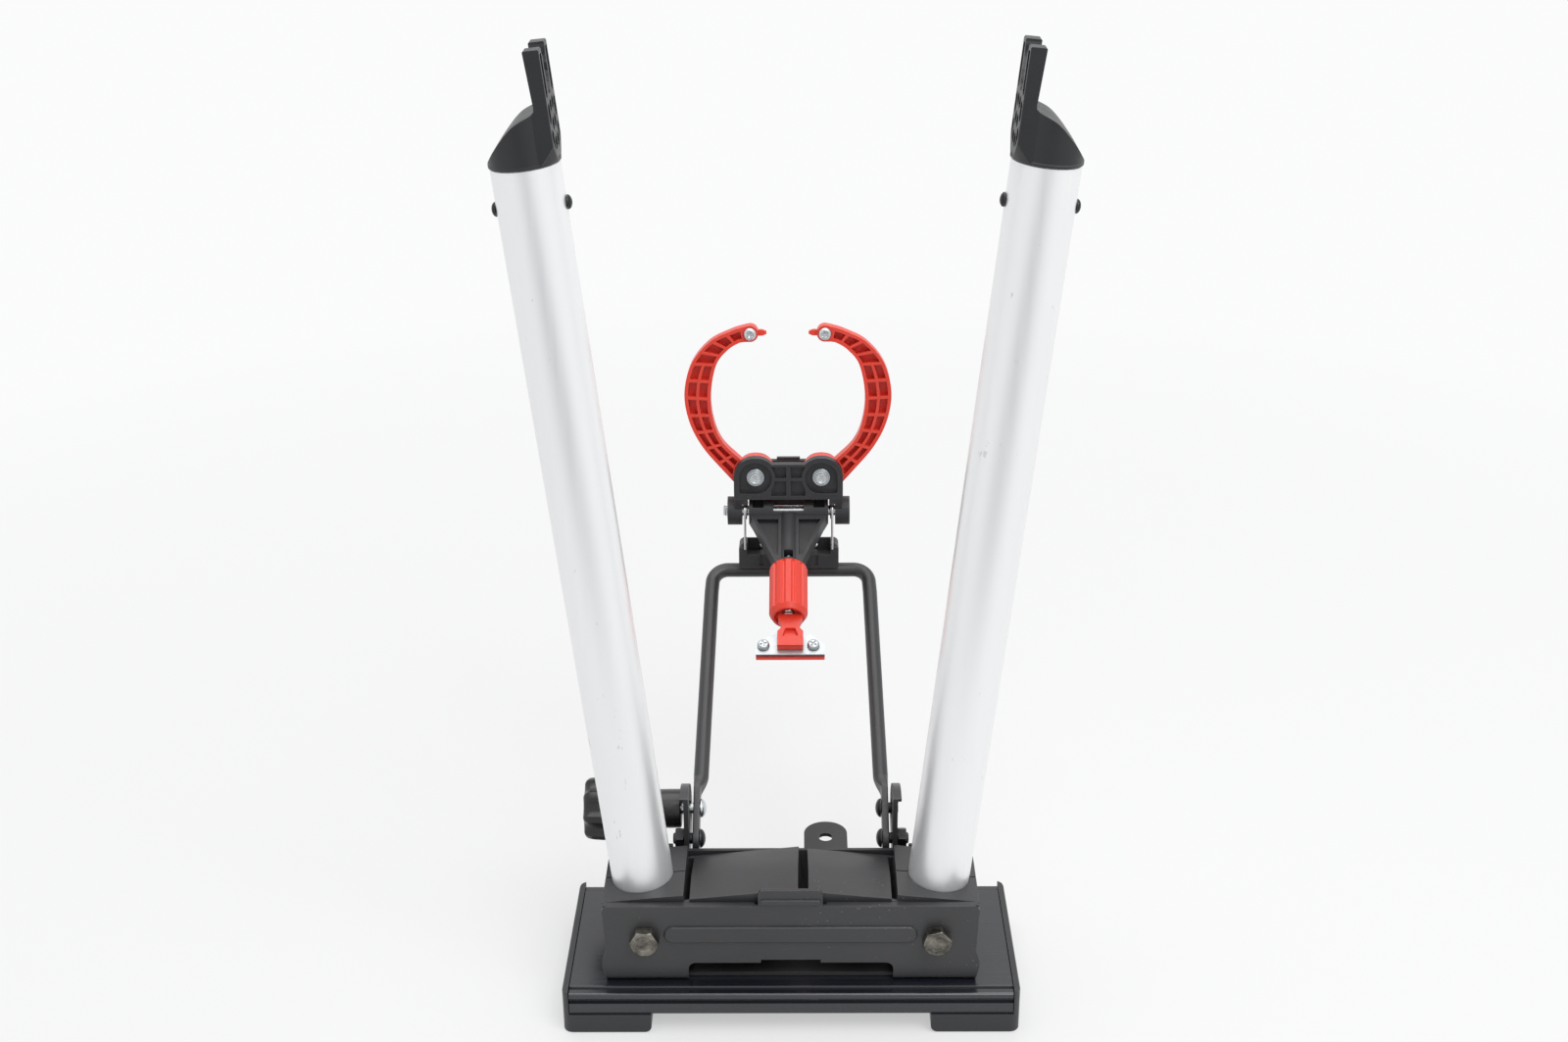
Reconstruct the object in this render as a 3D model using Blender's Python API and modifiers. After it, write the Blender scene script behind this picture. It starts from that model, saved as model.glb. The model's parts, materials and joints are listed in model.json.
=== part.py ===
# Wheel truing stand: two leaning uprights with dropouts on a weighted base, and a bent arm
# that carries a sprung caliper head with two geared claws and a swinging radial gauge.
# Sizes are in millimetres here, and the helpers below turn them into metres. X is to the
# right, Y to the back and Z up. Z = 0 is the bench.

import math

import bmesh
import bpy
from mathutils import Matrix, Vector

MM = 0.001
GAP = 0.3

# Pressed sheet and fasteners
SHEET = 2.0
BEND = 3.0
PIVOT_BOLT = 8.0
PIVOT_HEX = 13.0
PIVOT_HEAD = 5.2
PIVOT_NUT = 6.5
ARM_BOLT = 5.8
ARM_NUT = 10.0
ARM_NUT_HEIGHT = 4.6
HOLE_CLEARANCE = 0.3

# Base plate, an extrusion with an open underside, and its two end caps with feet
PLATE_LENGTH = 223.0
PLATE_DEPTH = 90.0
PLATE_HEIGHT = 14.0
PLATE_SKIN = 3.5
PLATE_EDGE = 4.0
PLATE_NOSE = 5.9
PLATE_GROOVE = 3.7
PLATE_GROOVE_DEPTH = 2.0
PLATE_LINE_INSET = 4.6
PLATE_RAIL_SPREAD = 30.0
PLATE_RAIL = 3.0
FOOT_HEIGHT = 8.8
FOOT_REACH = 41.5
FOOT_CORNER = 3.5
CAP_WALL = 3.2
CAP_PROUD = 0.9
CAP_OVERHANG = 1.2
CAP_CORNER = 5.0

# Housing, a pressed channel on the base plate
HOUSING_LENGTH = 188.0
HOUSING_DEPTH = 52.0
HOUSING_HEIGHT = 44.5
HOUSING_SETBACK = 5.0
HOUSING_WAIST = 1.2
HOUSING_FLARE = 0.8
FLANGE_DEPTH = 4.0
FLANGE_NOTCH = 2.0
TONGUE_WIDTH = 34.0
TONGUE_HEIGHT = 10.8
TONGUE_BEAD = 31.0
TONGUE_BEAD_HEIGHT = 4.0
BEAD_LENGTH = 125.6
BEAD_HEIGHT = 10.7
BEAD_DEPTH = 1.0
BEAD_ABOVE_FLOOR = 28.0
WINDOW_LENGTH = 103.0
WINDOW_HEIGHT = 10.8
WINDOW_STEP = 30.0
WINDOW_STEP_HEIGHT = 1.8
TAB_CENTRE = 18.2
TAB_WIDTH = 22.6
TAB_REACH = 25.0
TAB_ROUND = 10.5
TAB_HOLE = 7.4
TAB_HOLE_REACH = 10.3

# Uprights
PIVOT_SPACING = 146.0
PIVOT_RISE = 25.6
LEAN = 5.85
TUBE_OD = 31.0
TUBE_WALL = 1.5
TUBE_LENGTH = 402.4
TUBE_BELOW_PIVOT = 14.0
SOCKET_OUTER = 19.0
SOCKET_INNER = 21.8
SOCKET_BELOW = 17.0
SOCKET_TOP = 20.5
SOCKET_STEP = 3.5
WING_START = 24.5
WING_LEFT = 79.0
WING_RIGHT = 66.2
WING_TOP = 18.0
WING_SLOPE = 4.0
WING_FLANGE_DROP = 10.0
SIDE_CLEARANCE = 0.5
BACK_CLEARANCE = 1.0
LINK_REACH = 73.0
LINK_PIN = 5.0
LINK_TRAVEL = 0.9
LINK_TONGUE = 12.0

# Dropout caps, measured up from the tube's upper end
CAP_RIM = 1.1
CAP_DOME = 23.0
CAP_HEIGHT = 50.4
CAP_PLUG = 26.4
CAP_PLUG_WALL = 3.0
PRONG_THICKNESS = 7.5
PRONG_WIDTH = 30.0
DROPOUT_SLOT = 10.0
DROPOUT_DEPTH = 24.0
CAP_POCKET_DEPTH = 5.0
CAP_POCKET_WEB = 1.3
CAP_POCKET_ROWS = 3
CAP_SCREW_HEAD = 6.6
CAP_SCREW_DOME = 2.0
CAP_SCREW = 3.0
CAP_SCREW_LENGTH = 5.0
CAP_SCREW_DROP = 18.9

# Arm, hinge lugs and clamp
ARM_LEAN = 57.0
ARM_PIVOT_BACK = 7.0
ARM_PIVOT_RISE = 1.5
ARM_ROD = 8.0
ARM_LENGTH = 164.4
ARM_FOOT_HALF = 47.9
ARM_TOP_HALF = 44.2
ARM_CORNER = 8.8
ARM_ROD_START = 27.0
BLADE_INNER = 47.7
BLADE_THICKNESS = 3.6
BLADE_WIDTH = 13.0
BLADE_LENGTH = 30.0
CLAMP_RADIUS = 17.1
LUG_INNER = 52.8
LUG_SHEET = 2.5
LUG_RIM = 1.9
LUG_RADIUS = 28.5
LUG_RIM_WIDTH = 2.0
LUG_FOOT = 22.0
LUG_DROP = 20.0
ARM_RAISE = 32.0
ARM_LOWER = 18.0
DOME_HEAD = 10.0
DOME_HEIGHT = 2.9
KNOB_HUB = 20.5
KNOB_HUB_LENGTH = 34.5
KNOB_HEAD = 34.6
KNOB_HEAD_LENGTH = 16.2
KNOB_LOBES = 8
KNOB_LOBE_CUT = 2.6

# Saddle on the arm's crossbar, pin and springs
SADDLE_LEAN = 8.0
SADDLE_HALF = 28.0
SADDLE_FRONT = 9.0
SADDLE_BACK = 7.0
SADDLE_SKIRT = 2.4
SADDLE_TOP = 22.5
SADDLE_HOOK = 4.5
SADDLE_CHAMFER = 2.2
PIN_RISE = 35.1
PIN = 6.0
PIN_HEAD = 10.0
PIN_HEAD_HEIGHT = 3.0
PIN_NUT_HEIGHT = 4.0
KNUCKLE_INNER = 14.2
KNUCKLE_OUTER = 20.3
KNUCKLE_RADIUS = 6.0
KNUCKLE_NECK = 4.8
SPRING_WIRE = 1.6
SPRING_RADIUS = 7.2
SPRING_PITCH = 2.1
SPRING_OUTER = 25.1
SPRING_TURNS = 1.0
SPRING_LEG_FRONT = 10.4
SPRING_LEG_DROP = 30.0

# Caliper head
HEAD_LEAN = 6.0
EAR_INNER = 26.1
EAR_OUTER = 34.2
EAR_RADIUS = 8.3
BOSS_HALF = 18.4
BOSS_RISE = 21.2
BOSS_ARCH = 12.0
HEAD_BOTTOM = 8.0
HEAD_VALLEY = 30.5
COVER_THICKNESS = 5.6
COVER_POCKET = 2.6
COVER_WALL = 1.8
COVER_RIB = 1.8
BACK_THICKNESS = 3.7
BACK_TAB_HALF = 6.4
BACK_TAB_TOP = 32.6
WASHER = 11.2
WASHER_HEIGHT = 1.2
CLAW_SCREW = 5.0
CLAW_SCREW_HEAD = 7.6
CLAW_SCREW_HEAD_HEIGHT = 3.6
CLAW_NUT_HEIGHT = 3.2

# Claws
CLAW_THICKNESS = 8.0
CLAW_HUB = 12.8
CLAW_HUB_PROUD = 0.15
GEAR_TEETH = 24
GEAR_DEPTH_OUT = 0.95
GEAR_DEPTH_IN = 1.2
GEAR_BACKLASH = 0.35
GEAR_THICKNESS = 7.0
CLAW_TIP_U = -20.0
CLAW_TIP_V = 101.9
CLAW_TIP_RADIUS = 4.5
CLAW_WALL = 1.9
CLAW_RIB = 1.5
CLAW_SKIN = 2.0
CLAW_DOUBLE_CELLS = 7
CLAW_SINGLE_CELLS = 4
NIB_REACH = 11.5
NIB_HEIGHT = 3.3
NIB_THICKNESS = 2.6
NIB_SCREW = 2.6
NIB_SCREW_HEAD = 7.0
NIB_SCREW_HEAD_HEIGHT = 2.0

# Gauge lever, thumbwheel and gauge foot, measured from the pin
LEVER_DROP = 24.0
LEVER_BARREL = 14.0
LEVER_BARREL_HALF = 22.0
LEVER_WEB_START = 12.0
LEVER_WEB_HALF = 18.6
LEVER_TIP = 41.8
LEVER_TIP_HALF = 7.6
LEVER_DEPTH = 9.0
LEVER_WEB = 2.2
LEVER_RIM = 2.0
LEVER_TUBE = 12.2
LEVER_CENTRE_WINDOW = 8.5
LEVER_SCREW_WINDOW = 33.5
LEVER_SCREW_WINDOW_LENGTH = 6.0
LEVER_SCREW_WINDOW_WIDTH = 4.8
ADJUST_SCREW = 6.0
ADJUST_SCREW_END = 75.0
ADJUST_SCREW_HEAD = 3.4
WHEEL_START = 43.5
WHEEL_LENGTH = 34.5
WHEEL_OD = 20.8
WHEEL_CHAMFER = 3.5
WHEEL_FLUTES = 12
WHEEL_FLUTE = 3.4
WHEEL_FLUTE_DEPTH = 0.9
WHEEL_RECESS = 15.0
WHEEL_RECESS_DEPTH = 4.0
FORK_START = 76.8
FORK_NECK_TOP = 6.5
FORK_NECK = 4.2
FORK_HALF = 6.9
FORK_SHOULDER = 88.4
FORK_END = 98.0
FORK_THICKNESS = 4.0
FORK_WINDOW = 86.4
FORK_WINDOW_END = 91.6
PLATE2_START = 87.2
PLATE2_END = 101.0
PLATE2_HALF = 18.3
PLATE2_TOP_HALF = 10.2
PLATE2_THICKNESS = 2.0
PAD_THICKNESS = 1.6
PAD_REACH = 1.0
PAD_HEIGHT = 6.5
PLATE_SCREW_HALF = 13.3
PLATE_SCREW_DROP = 5.7
PLATE_SCREW_HEAD = 6.6
PLATE_SCREW_HEAD_HEIGHT = 2.2
PLATE_SCREW = 2.6

# Levels and planes that follow from the sizes above
PLATE_BOTTOM = FOOT_HEIGHT + GAP
PLATE_TOP = PLATE_BOTTOM + PLATE_HEIGHT
CAP_INNER = PLATE_LENGTH / 2 + GAP
CAP_OUTER = CAP_INNER + CAP_WALL
HOUSING_FRONT = -PLATE_DEPTH / 2 + HOUSING_SETBACK
HOUSING_BACK = HOUSING_FRONT + HOUSING_DEPTH
HOUSING_FLOOR = PLATE_TOP + GAP
HOUSING_TOP = HOUSING_FLOOR + HOUSING_HEIGHT
TUBE_Y = (HOUSING_FRONT + HOUSING_BACK) / 2
PIVOT_X = PIVOT_SPACING / 2
PIVOT_Z = HOUSING_FLOOR + PIVOT_RISE
BRACKET_FRONT = HOUSING_FRONT + FLANGE_DEPTH + SIDE_CLEARANCE
BRACKET_BACK = HOUSING_BACK - SHEET - BACK_CLEARANCE
TUBE_TOP = TUBE_LENGTH - TUBE_BELOW_PIVOT
CAP_BASE = TUBE_TOP + GAP
ARM_Y = HOUSING_BACK + ARM_PIVOT_BACK
ARM_Z = HOUSING_TOP + ARM_PIVOT_RISE
CLAW_HALF = CLAW_THICKNESS / 2
COVER_INNER = -CLAW_HALF - GAP
COVER_FRONT = COVER_INNER - COVER_THICKNESS
BACK_INNER = CLAW_HALF + GAP
BACK_OUTER = BACK_INNER + BACK_THICKNESS

WORLD = Matrix.Identity(4)


# Helpers

def new_collection(name):
    group = bpy.data.collections.new(name)
    bpy.context.scene.collection.children.link(group)
    return group


def material(name, colour, roughness, metallic):
    mat = bpy.data.materials.new(name)
    mat.use_nodes = True
    shader = mat.node_tree.nodes["Principled BSDF"]
    shader.inputs["Base Color"].default_value = (*colour, 1.0)
    shader.inputs["Roughness"].default_value = roughness
    shader.inputs["Metallic"].default_value = metallic
    mat.diffuse_color = (*colour, 1.0)
    return mat


def smooth_shade(mesh):
    mesh.shade_smooth()
    mesh.set_sharp_from_angle(angle=math.radians(35))


def helper(name, mesh, at):
    ob = bpy.data.objects.new(name, mesh)
    TOOLS.objects.link(ob)
    ob.matrix_world = at
    ob.hide_render = True
    ob.display_type = "WIRE"
    return ob


def from_bmesh(name, bm, at):
    bmesh.ops.recalc_face_normals(bm, faces=bm.faces)
    mesh = bpy.data.meshes.new(name)
    bm.to_mesh(mesh)
    bm.free()
    smooth_shade(mesh)
    return helper(name, mesh, at)


def block(name, x, y, z, at=WORLD):
    low = Vector((min(x), min(y), min(z)))
    high = Vector((max(x), max(y), max(z)))
    bm = bmesh.new()
    bmesh.ops.create_cube(bm, size=1.0)
    size = high - low
    move = Matrix.Translation((low + high) / 2 * MM) @ Matrix.Diagonal((*(size * MM), 1.0))
    bmesh.ops.transform(bm, matrix=move, verts=bm.verts)
    return from_bmesh(name, bm, at)


def turn_to(axis):
    if axis == "X":
        return Matrix.Rotation(math.radians(90), 4, "Y")
    if axis == "Y":
        return Matrix.Rotation(math.radians(-90), 4, "X")
    return WORLD


def bar(name, radius, start, end, axis="Z", centre=(0, 0, 0), at=WORLD, sides=20, top=None):
    # A cylinder, cone or hexagon from start to end along an axis through centre.
    low = min(start, end)
    high = max(start, end)
    bm = bmesh.new()
    bmesh.ops.create_cone(
        bm, cap_ends=True, segments=sides, depth=(high - low) * MM,
        radius1=radius * MM, radius2=(radius if top is None else top) * MM)
    middle = Matrix.Translation((0, 0, (low + high) / 2 * MM))
    spot = Matrix.Translation(Vector(centre) * MM)
    bmesh.ops.transform(bm, matrix=spot @ turn_to(axis) @ middle, verts=bm.verts)
    return from_bmesh(name, bm, at)


def hexagon(name, across, start, end, axis, centre, at=WORLD):
    return bar(name, across / math.sqrt(3), start, end, axis, centre, at, sides=6)


PLANES = {
    "XY": Matrix(((1, 0, 0, 0), (0, 1, 0, 0), (0, 0, 1, 0), (0, 0, 0, 1))),
    "XZ": Matrix(((1, 0, 0, 0), (0, 0, -1, 0), (0, 1, 0, 0), (0, 0, 0, 1))),
    "YZ": Matrix(((0, 0, 1, 0), (1, 0, 0, 0), (0, 1, 0, 0), (0, 0, 0, 1))),
}


def from_curve(name, curve, at):
    source = bpy.data.objects.new(name + "_curve", curve)
    TOOLS.objects.link(source)
    bpy.context.view_layer.update()
    graph = bpy.context.evaluated_depsgraph_get()
    mesh = bpy.data.meshes.new_from_object(source.evaluated_get(graph))
    bpy.data.objects.remove(source, do_unlink=True)
    bm = bmesh.new()
    bm.from_mesh(mesh)
    bpy.data.meshes.remove(mesh)
    bmesh.ops.remove_doubles(bm, verts=bm.verts, dist=1e-6)
    return bm


def prism(name, outlines, low, high, plane="XY", at=WORLD):
    # A flat outline, or several, filled and given a thickness across its plane.
    if not isinstance(outlines[0][0], (tuple, list)):
        outlines = [outlines]
    curve = bpy.data.curves.new(name, "CURVE")
    curve.dimensions = "2D"
    curve.fill_mode = "BOTH"
    curve.extrude = abs(high - low) / 2 * MM
    for outline in outlines:
        spline = curve.splines.new("POLY")
        spline.points.add(len(outline) - 1)
        for point, (a, b) in zip(spline.points, outline):
            point.co = (a * MM, b * MM, 0, 1)
        spline.use_cyclic_u = True
    bm = from_curve(name, curve, at)
    middle = (low + high) / 2 * MM
    if plane == "XZ":
        middle = -middle
    lift = Matrix.Translation((0, 0, middle))
    bmesh.ops.transform(bm, matrix=PLANES[plane] @ lift, verts=bm.verts)
    return from_bmesh(name, bm, at)


def wire(name, points, radius, resolution, at=WORLD):
    curve = bpy.data.curves.new(name, "CURVE")
    curve.dimensions = "3D"
    curve.bevel_depth = radius * MM
    curve.bevel_resolution = resolution
    curve.use_fill_caps = True
    spline = curve.splines.new("POLY")
    spline.points.add(len(points) - 1)
    for point, (x, y, z) in zip(spline.points, points):
        point.co = (x * MM, y * MM, z * MM, 1)
    bm = from_curve(name, curve, at)
    return from_bmesh(name, bm, at)


def turned(name, profile, axis, centre=(0, 0, 0), at=WORLD, steps=32):
    # A profile of (radius, height) pairs down its outer side, turned about an axis.
    bm = bmesh.new()
    verts = [bm.verts.new((r * MM, 0, h * MM)) for r, h in profile]
    for first, second in zip(verts, verts[1:]):
        bm.edges.new((first, second))
    if profile[0][0] > 0:
        bm.edges.new((verts[-1], verts[0]))
    mesh = bpy.data.meshes.new(name)
    bm.to_mesh(mesh)
    bm.free()
    spot = Matrix.Translation(Vector(centre) * MM)
    ob = helper(name, mesh, at @ spot @ turn_to(axis))
    screw = ob.modifiers.new("turn", "SCREW")
    screw.angle = math.radians(360)
    screw.steps = steps
    screw.render_steps = steps
    screw.use_merge_vertices = True
    screw.merge_threshold = 1e-5
    screw.use_smooth_shade = True
    weld = ob.modifiers.new("weld", "WELD")
    weld.merge_threshold = 1e-5
    return ob


def merged(name, pieces, at=WORLD):
    # Several separate closed shapes as one cutter.
    bm = bmesh.new()
    for piece in pieces:
        part = piece.data.copy()
        part.transform(at.inverted() @ piece.matrix_world)
        bm.from_mesh(part)
        bpy.data.meshes.remove(part)
        bpy.data.objects.remove(piece, do_unlink=True)
    return from_bmesh(name, bm, at)


def boolean(ob, others, operation):
    for other in others:
        mod = ob.modifiers.new(operation.lower(), "BOOLEAN")
        mod.operation = operation
        mod.solver = "EXACT"
        mod.object = other
    return ob


def fuse(ob, *others):
    return boolean(ob, others, "UNION")


def cut(ob, *others):
    return boolean(ob, others, "DIFFERENCE")


def keep(ob, *others):
    return boolean(ob, others, "INTERSECT")


def bevel(ob, width, segments=2, angle=40):
    mod = ob.modifiers.new("bevel", "BEVEL")
    mod.width = width * MM
    mod.segments = segments
    mod.limit_method = "ANGLE"
    mod.angle_limit = math.radians(angle)
    return ob


def piece(ob, name, mat):
    # Makes a shape one of the object's named pieces.
    TOOLS.objects.unlink(ob)
    STAND.objects.link(ob)
    ob.name = name
    ob.data.name = name
    ob.data.materials.clear()
    ob.data.materials.append(mat)
    ob.hide_render = False
    ob.display_type = "TEXTURED"
    return ob


def arc(cx, cy, radius, start, end, steps):
    # Points of an arc in degrees, both ends included.
    points = []
    for i in range(steps + 1):
        angle = math.radians(start + (end - start) * i / steps)
        points.append((cx + radius * math.cos(angle), cy + radius * math.sin(angle)))
    return points


def rounded(corners, steps=4):
    # A closed outline whose corners (x, y, radius) are rounded.
    points = []
    count = len(corners)
    for i, corner in enumerate(corners):
        here = Vector(corner[:2])
        radius = corner[2] if len(corner) > 2 else 0
        back = Vector(corners[i - 1][:2]) - here
        ahead = Vector(corners[(i + 1) % count][:2]) - here
        angle = back.angle(ahead)
        if radius <= 0 or angle > math.radians(178):
            points.append(tuple(here))
            continue
        reach = radius / math.tan(angle / 2)
        reach = min(reach, 0.49 * back.length, 0.49 * ahead.length)
        radius = reach * math.tan(angle / 2)
        middle = (back.normalized() + ahead.normalized()).normalized()
        centre = here + middle * (radius / math.sin(angle / 2))
        first = here + back.normalized() * reach - centre
        last = here + ahead.normalized() * reach - centre
        start = math.atan2(first.y, first.x)
        sweep = math.atan2(last.y, last.x) - start
        sweep = (sweep + math.pi) % (2 * math.pi) - math.pi
        for k in range(steps + 1):
            a = start + sweep * k / steps
            points.append((centre.x + radius * math.cos(a), centre.y + radius * math.sin(a)))
    return points


def slot(cx, cy, length, width, steps=5):
    # A slot with round ends along the first direction.
    half = (length - width) / 2
    right = arc(cx + half, cy, width / 2, -90, 90, steps)
    left = arc(cx - half, cy, width / 2, 90, 270, steps)
    return right + left


def spline_point(points, t):
    # A smooth curve through the points, for t from 0 to 1.
    spans = len(points) - 1
    place = min(max(t, 0.0), 1.0) * spans
    i = min(int(place), spans - 1)
    f = place - i
    p1 = Vector(points[i])
    p2 = Vector(points[i + 1])
    p0 = Vector(points[i - 1]) if i > 0 else 2 * p1 - p2
    p3 = Vector(points[i + 2]) if i + 2 < len(points) else 2 * p2 - p1
    a = 2 * p1
    b = p2 - p0
    c = 2 * p0 - 5 * p1 + 4 * p2 - p3
    d = -p0 + 3 * p1 - 3 * p2 + p3
    return 0.5 * (a + b * f + c * f * f + d * f * f * f)


def flip(points, side):
    return [(side * a, b) for a, b in points]


def span(side, low, high):
    return (side * low, side * high)


# Base

def base_plate():
    half = PLATE_DEPTH / 2
    nose = PLATE_NOSE / 2
    groove_top = PLATE_TOP - PLATE_NOSE
    groove_low = groove_top - PLATE_GROOVE
    line = half - PLATE_LINE_INSET
    rail = PLATE_RAIL_SPREAD / 2
    ceiling = PLATE_TOP - PLATE_SKIN
    back = half - PLATE_GROOVE_DEPTH
    inside = half - PLATE_EDGE
    nose_curve = arc(half - nose, PLATE_TOP - nose, nose, 90, -90, 6)
    right = [(line - 0.5, PLATE_TOP), (line - 0.5, PLATE_TOP - 0.8), (line + 0.5, PLATE_TOP - 0.8),
             (line + 0.5, PLATE_TOP)]
    right += nose_curve
    right += [(back, groove_top), (back, groove_low), (half, groove_low), (half, PLATE_BOTTOM),
              (inside, PLATE_BOTTOM), (inside, ceiling), (rail + PLATE_RAIL, ceiling),
              (rail + PLATE_RAIL, PLATE_BOTTOM + 2), (rail, PLATE_BOTTOM + 2), (rail, ceiling)]
    left = [(-a, b) for a, b in reversed(right)]
    ob = prism("plate", right + left, -PLATE_LENGTH / 2, PLATE_LENGTH / 2, "YZ")
    piece(ob, "base_plate", ANODISED)


def end_cap(name, side):
    top = PLATE_TOP + CAP_PROUD
    foot = CAP_OUTER - FOOT_REACH - CAP_WALL
    half = PLATE_DEPTH / 2 + CAP_OVERHANG
    section = rounded([(CAP_OUTER, 0), (CAP_OUTER, top, 1.2), (CAP_INNER, top),
                       (CAP_INNER, FOOT_HEIGHT), (foot, FOOT_HEIGHT), (foot, 0, FOOT_CORNER)])
    ob = prism(name + "_body", flip(section, side), -half, half, "XZ")
    plan = rounded([(foot - 1, -half), (CAP_OUTER, -half, CAP_CORNER),
                    (CAP_OUTER, half, CAP_CORNER), (foot - 1, half)])
    keep(ob, prism(name + "_plan", flip(plan, side), -1, top + 1, "XY"))
    piece(ob, name, CAP_PLASTIC)


def housing():
    half = HOUSING_LENGTH / 2
    front, back = HOUSING_FRONT, HOUSING_BACK
    low, top = HOUSING_FLOOR, HOUSING_TOP
    inner = max(BEND - SHEET, 0.2)
    tongue_top = top + TONGUE_HEIGHT
    section = rounded([
        (front, tongue_top), (front, low, BEND), (back, low, BEND), (back, top),
        (back - SHEET, top), (back - SHEET, low + SHEET, inner),
        (front + SHEET, low + SHEET, inner), (front + SHEET, tongue_top)], 3)
    ob = prism("channel", section, -half, half, "YZ")
    waist = half - HOUSING_WAIST
    flare = half + HOUSING_FLARE
    mid = low + HOUSING_HEIGHT * 0.4
    side = [(half, top), (waist, mid), (flare, mid - 6), (flare, mid - 10), (waist, low - 1)]
    tongue = rounded([(TONGUE_WIDTH / 2, top), (TONGUE_WIDTH / 2, tongue_top, 3),
                      (-TONGUE_WIDTH / 2, tongue_top, 3), (-TONGUE_WIDTH / 2, top)])
    face = [(a, b) for a, b in reversed(side)] + tongue + flip(side, -1)
    keep(ob, prism("channel_face", face, front - 2, back + 1, "XZ"))
    for name, side in (("left", -1), ("right", 1)):
        start = TONGUE_WIDTH / 2 + FLANGE_NOTCH
        lip = block("flange_" + name, span(side, start, half - 0.6),
                    (front + SHEET / 2, front + FLANGE_DEPTH), (top - SHEET, top - 0.01))
        fuse(ob, lip)
    bead_z = low + BEAD_ABOVE_FLOOR
    bead = bevel(prism("bead", slot(0, bead_z, BEAD_LENGTH, BEAD_HEIGHT), front - BEAD_DEPTH,
                       front + 1, "XZ"), 0.7, 1)
    recess = prism("bead_recess", slot(0, bead_z, BEAD_LENGTH - 5, BEAD_HEIGHT - 5), front - 2,
                   front + 0.2, "XZ")
    inside = prism("bead_inside", slot(0, bead_z, BEAD_LENGTH - 3, BEAD_HEIGHT - 3),
                   front + SHEET - BEAD_DEPTH, front + SHEET + 1, "XZ")
    tongue_z = (top + tongue_top) / 2 - 0.5
    ridge = prism("ridge", slot(0, tongue_z, TONGUE_BEAD, TONGUE_BEAD_HEIGHT),
                  front - BEAD_DEPTH, front + 1, "XZ")
    fuse(ob, bead, ridge)
    cut(ob, recess, inside)
    window_top = low + WINDOW_HEIGHT
    step = WINDOW_STEP / 2
    window = rounded([
        (-WINDOW_LENGTH / 2, low - 2), (WINDOW_LENGTH / 2, low - 2),
        (WINDOW_LENGTH / 2, window_top, 3.8), (step, window_top),
        (step, window_top + WINDOW_STEP_HEIGHT), (-step, window_top + WINDOW_STEP_HEIGHT),
        (-step, window_top), (-WINDOW_LENGTH / 2, window_top, 3.8)])
    cut(ob, prism("window", window, front - 2, front + FLANGE_DEPTH, "XZ"))
    for name, side in (("left", -1), ("right", 1)):
        cut(ob, bar("pivot_hole_" + name, PIVOT_BOLT / 2 + HOLE_CLEARANCE, front - 3, back + 3, "Y",
                    (side * PIVOT_X, 0, PIVOT_Z)))
    reach = back + TAB_REACH
    tab = rounded([(TAB_CENTRE - TAB_WIDTH / 2, back - SHEET / 2),
                   (TAB_CENTRE + TAB_WIDTH / 2, back - SHEET / 2),
                   (TAB_CENTRE + TAB_WIDTH / 2, reach, TAB_ROUND),
                   (TAB_CENTRE - TAB_WIDTH / 2, reach, TAB_ROUND)], 6)
    fuse(ob, prism("tab", tab, top - SHEET, top - 0.01, "XY"))
    cut(ob, bar("tab_hole", TAB_HOLE / 2, top - SHEET - 1, top + 1, "Z",
                (TAB_CENTRE, back + TAB_HOLE_REACH, 0)))
    piece(ob, "housing", PAINTED_STEEL)


def pivot_fasteners(name, side):
    centre = (side * PIVOT_X, 0, PIVOT_Z)
    face = HOUSING_FRONT - GAP
    end = HOUSING_BACK + GAP + PIVOT_NUT
    bolt = bar("bolt_" + name, PIVOT_BOLT / 2, face - 1, end + 1, "Y", centre)
    head = hexagon("bolt_head_" + name, PIVOT_HEX, face - PIVOT_HEAD, face, "Y", centre)
    dish = bar("bolt_dish_" + name, PIVOT_HEX * 0.35, face - PIVOT_HEAD - 1,
               face - PIVOT_HEAD + 0.5, "Y", centre, sides=20)
    crown = bar("bolt_crown_" + name, PIVOT_HEX * 0.52, face + 0.1, face - PIVOT_HEAD - 0.1,
                "Y", centre, top=PIVOT_HEX * 0.95)
    ob = cut(fuse(keep(head, crown), bolt), dish)
    piece(ob, "pivot_bolt_" + name, OLIVE_ZINC)
    nut = hexagon("nut_" + name, PIVOT_HEX, HOUSING_BACK + GAP, end, "Y", centre)
    bore = bar("nut_bore_" + name, PIVOT_BOLT / 2 + HOLE_CLEARANCE, HOUSING_BACK - 1, end + 1,
               "Y", centre)
    piece(cut(nut, bore), "pivot_nut_" + name, OLIVE_ZINC)


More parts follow.
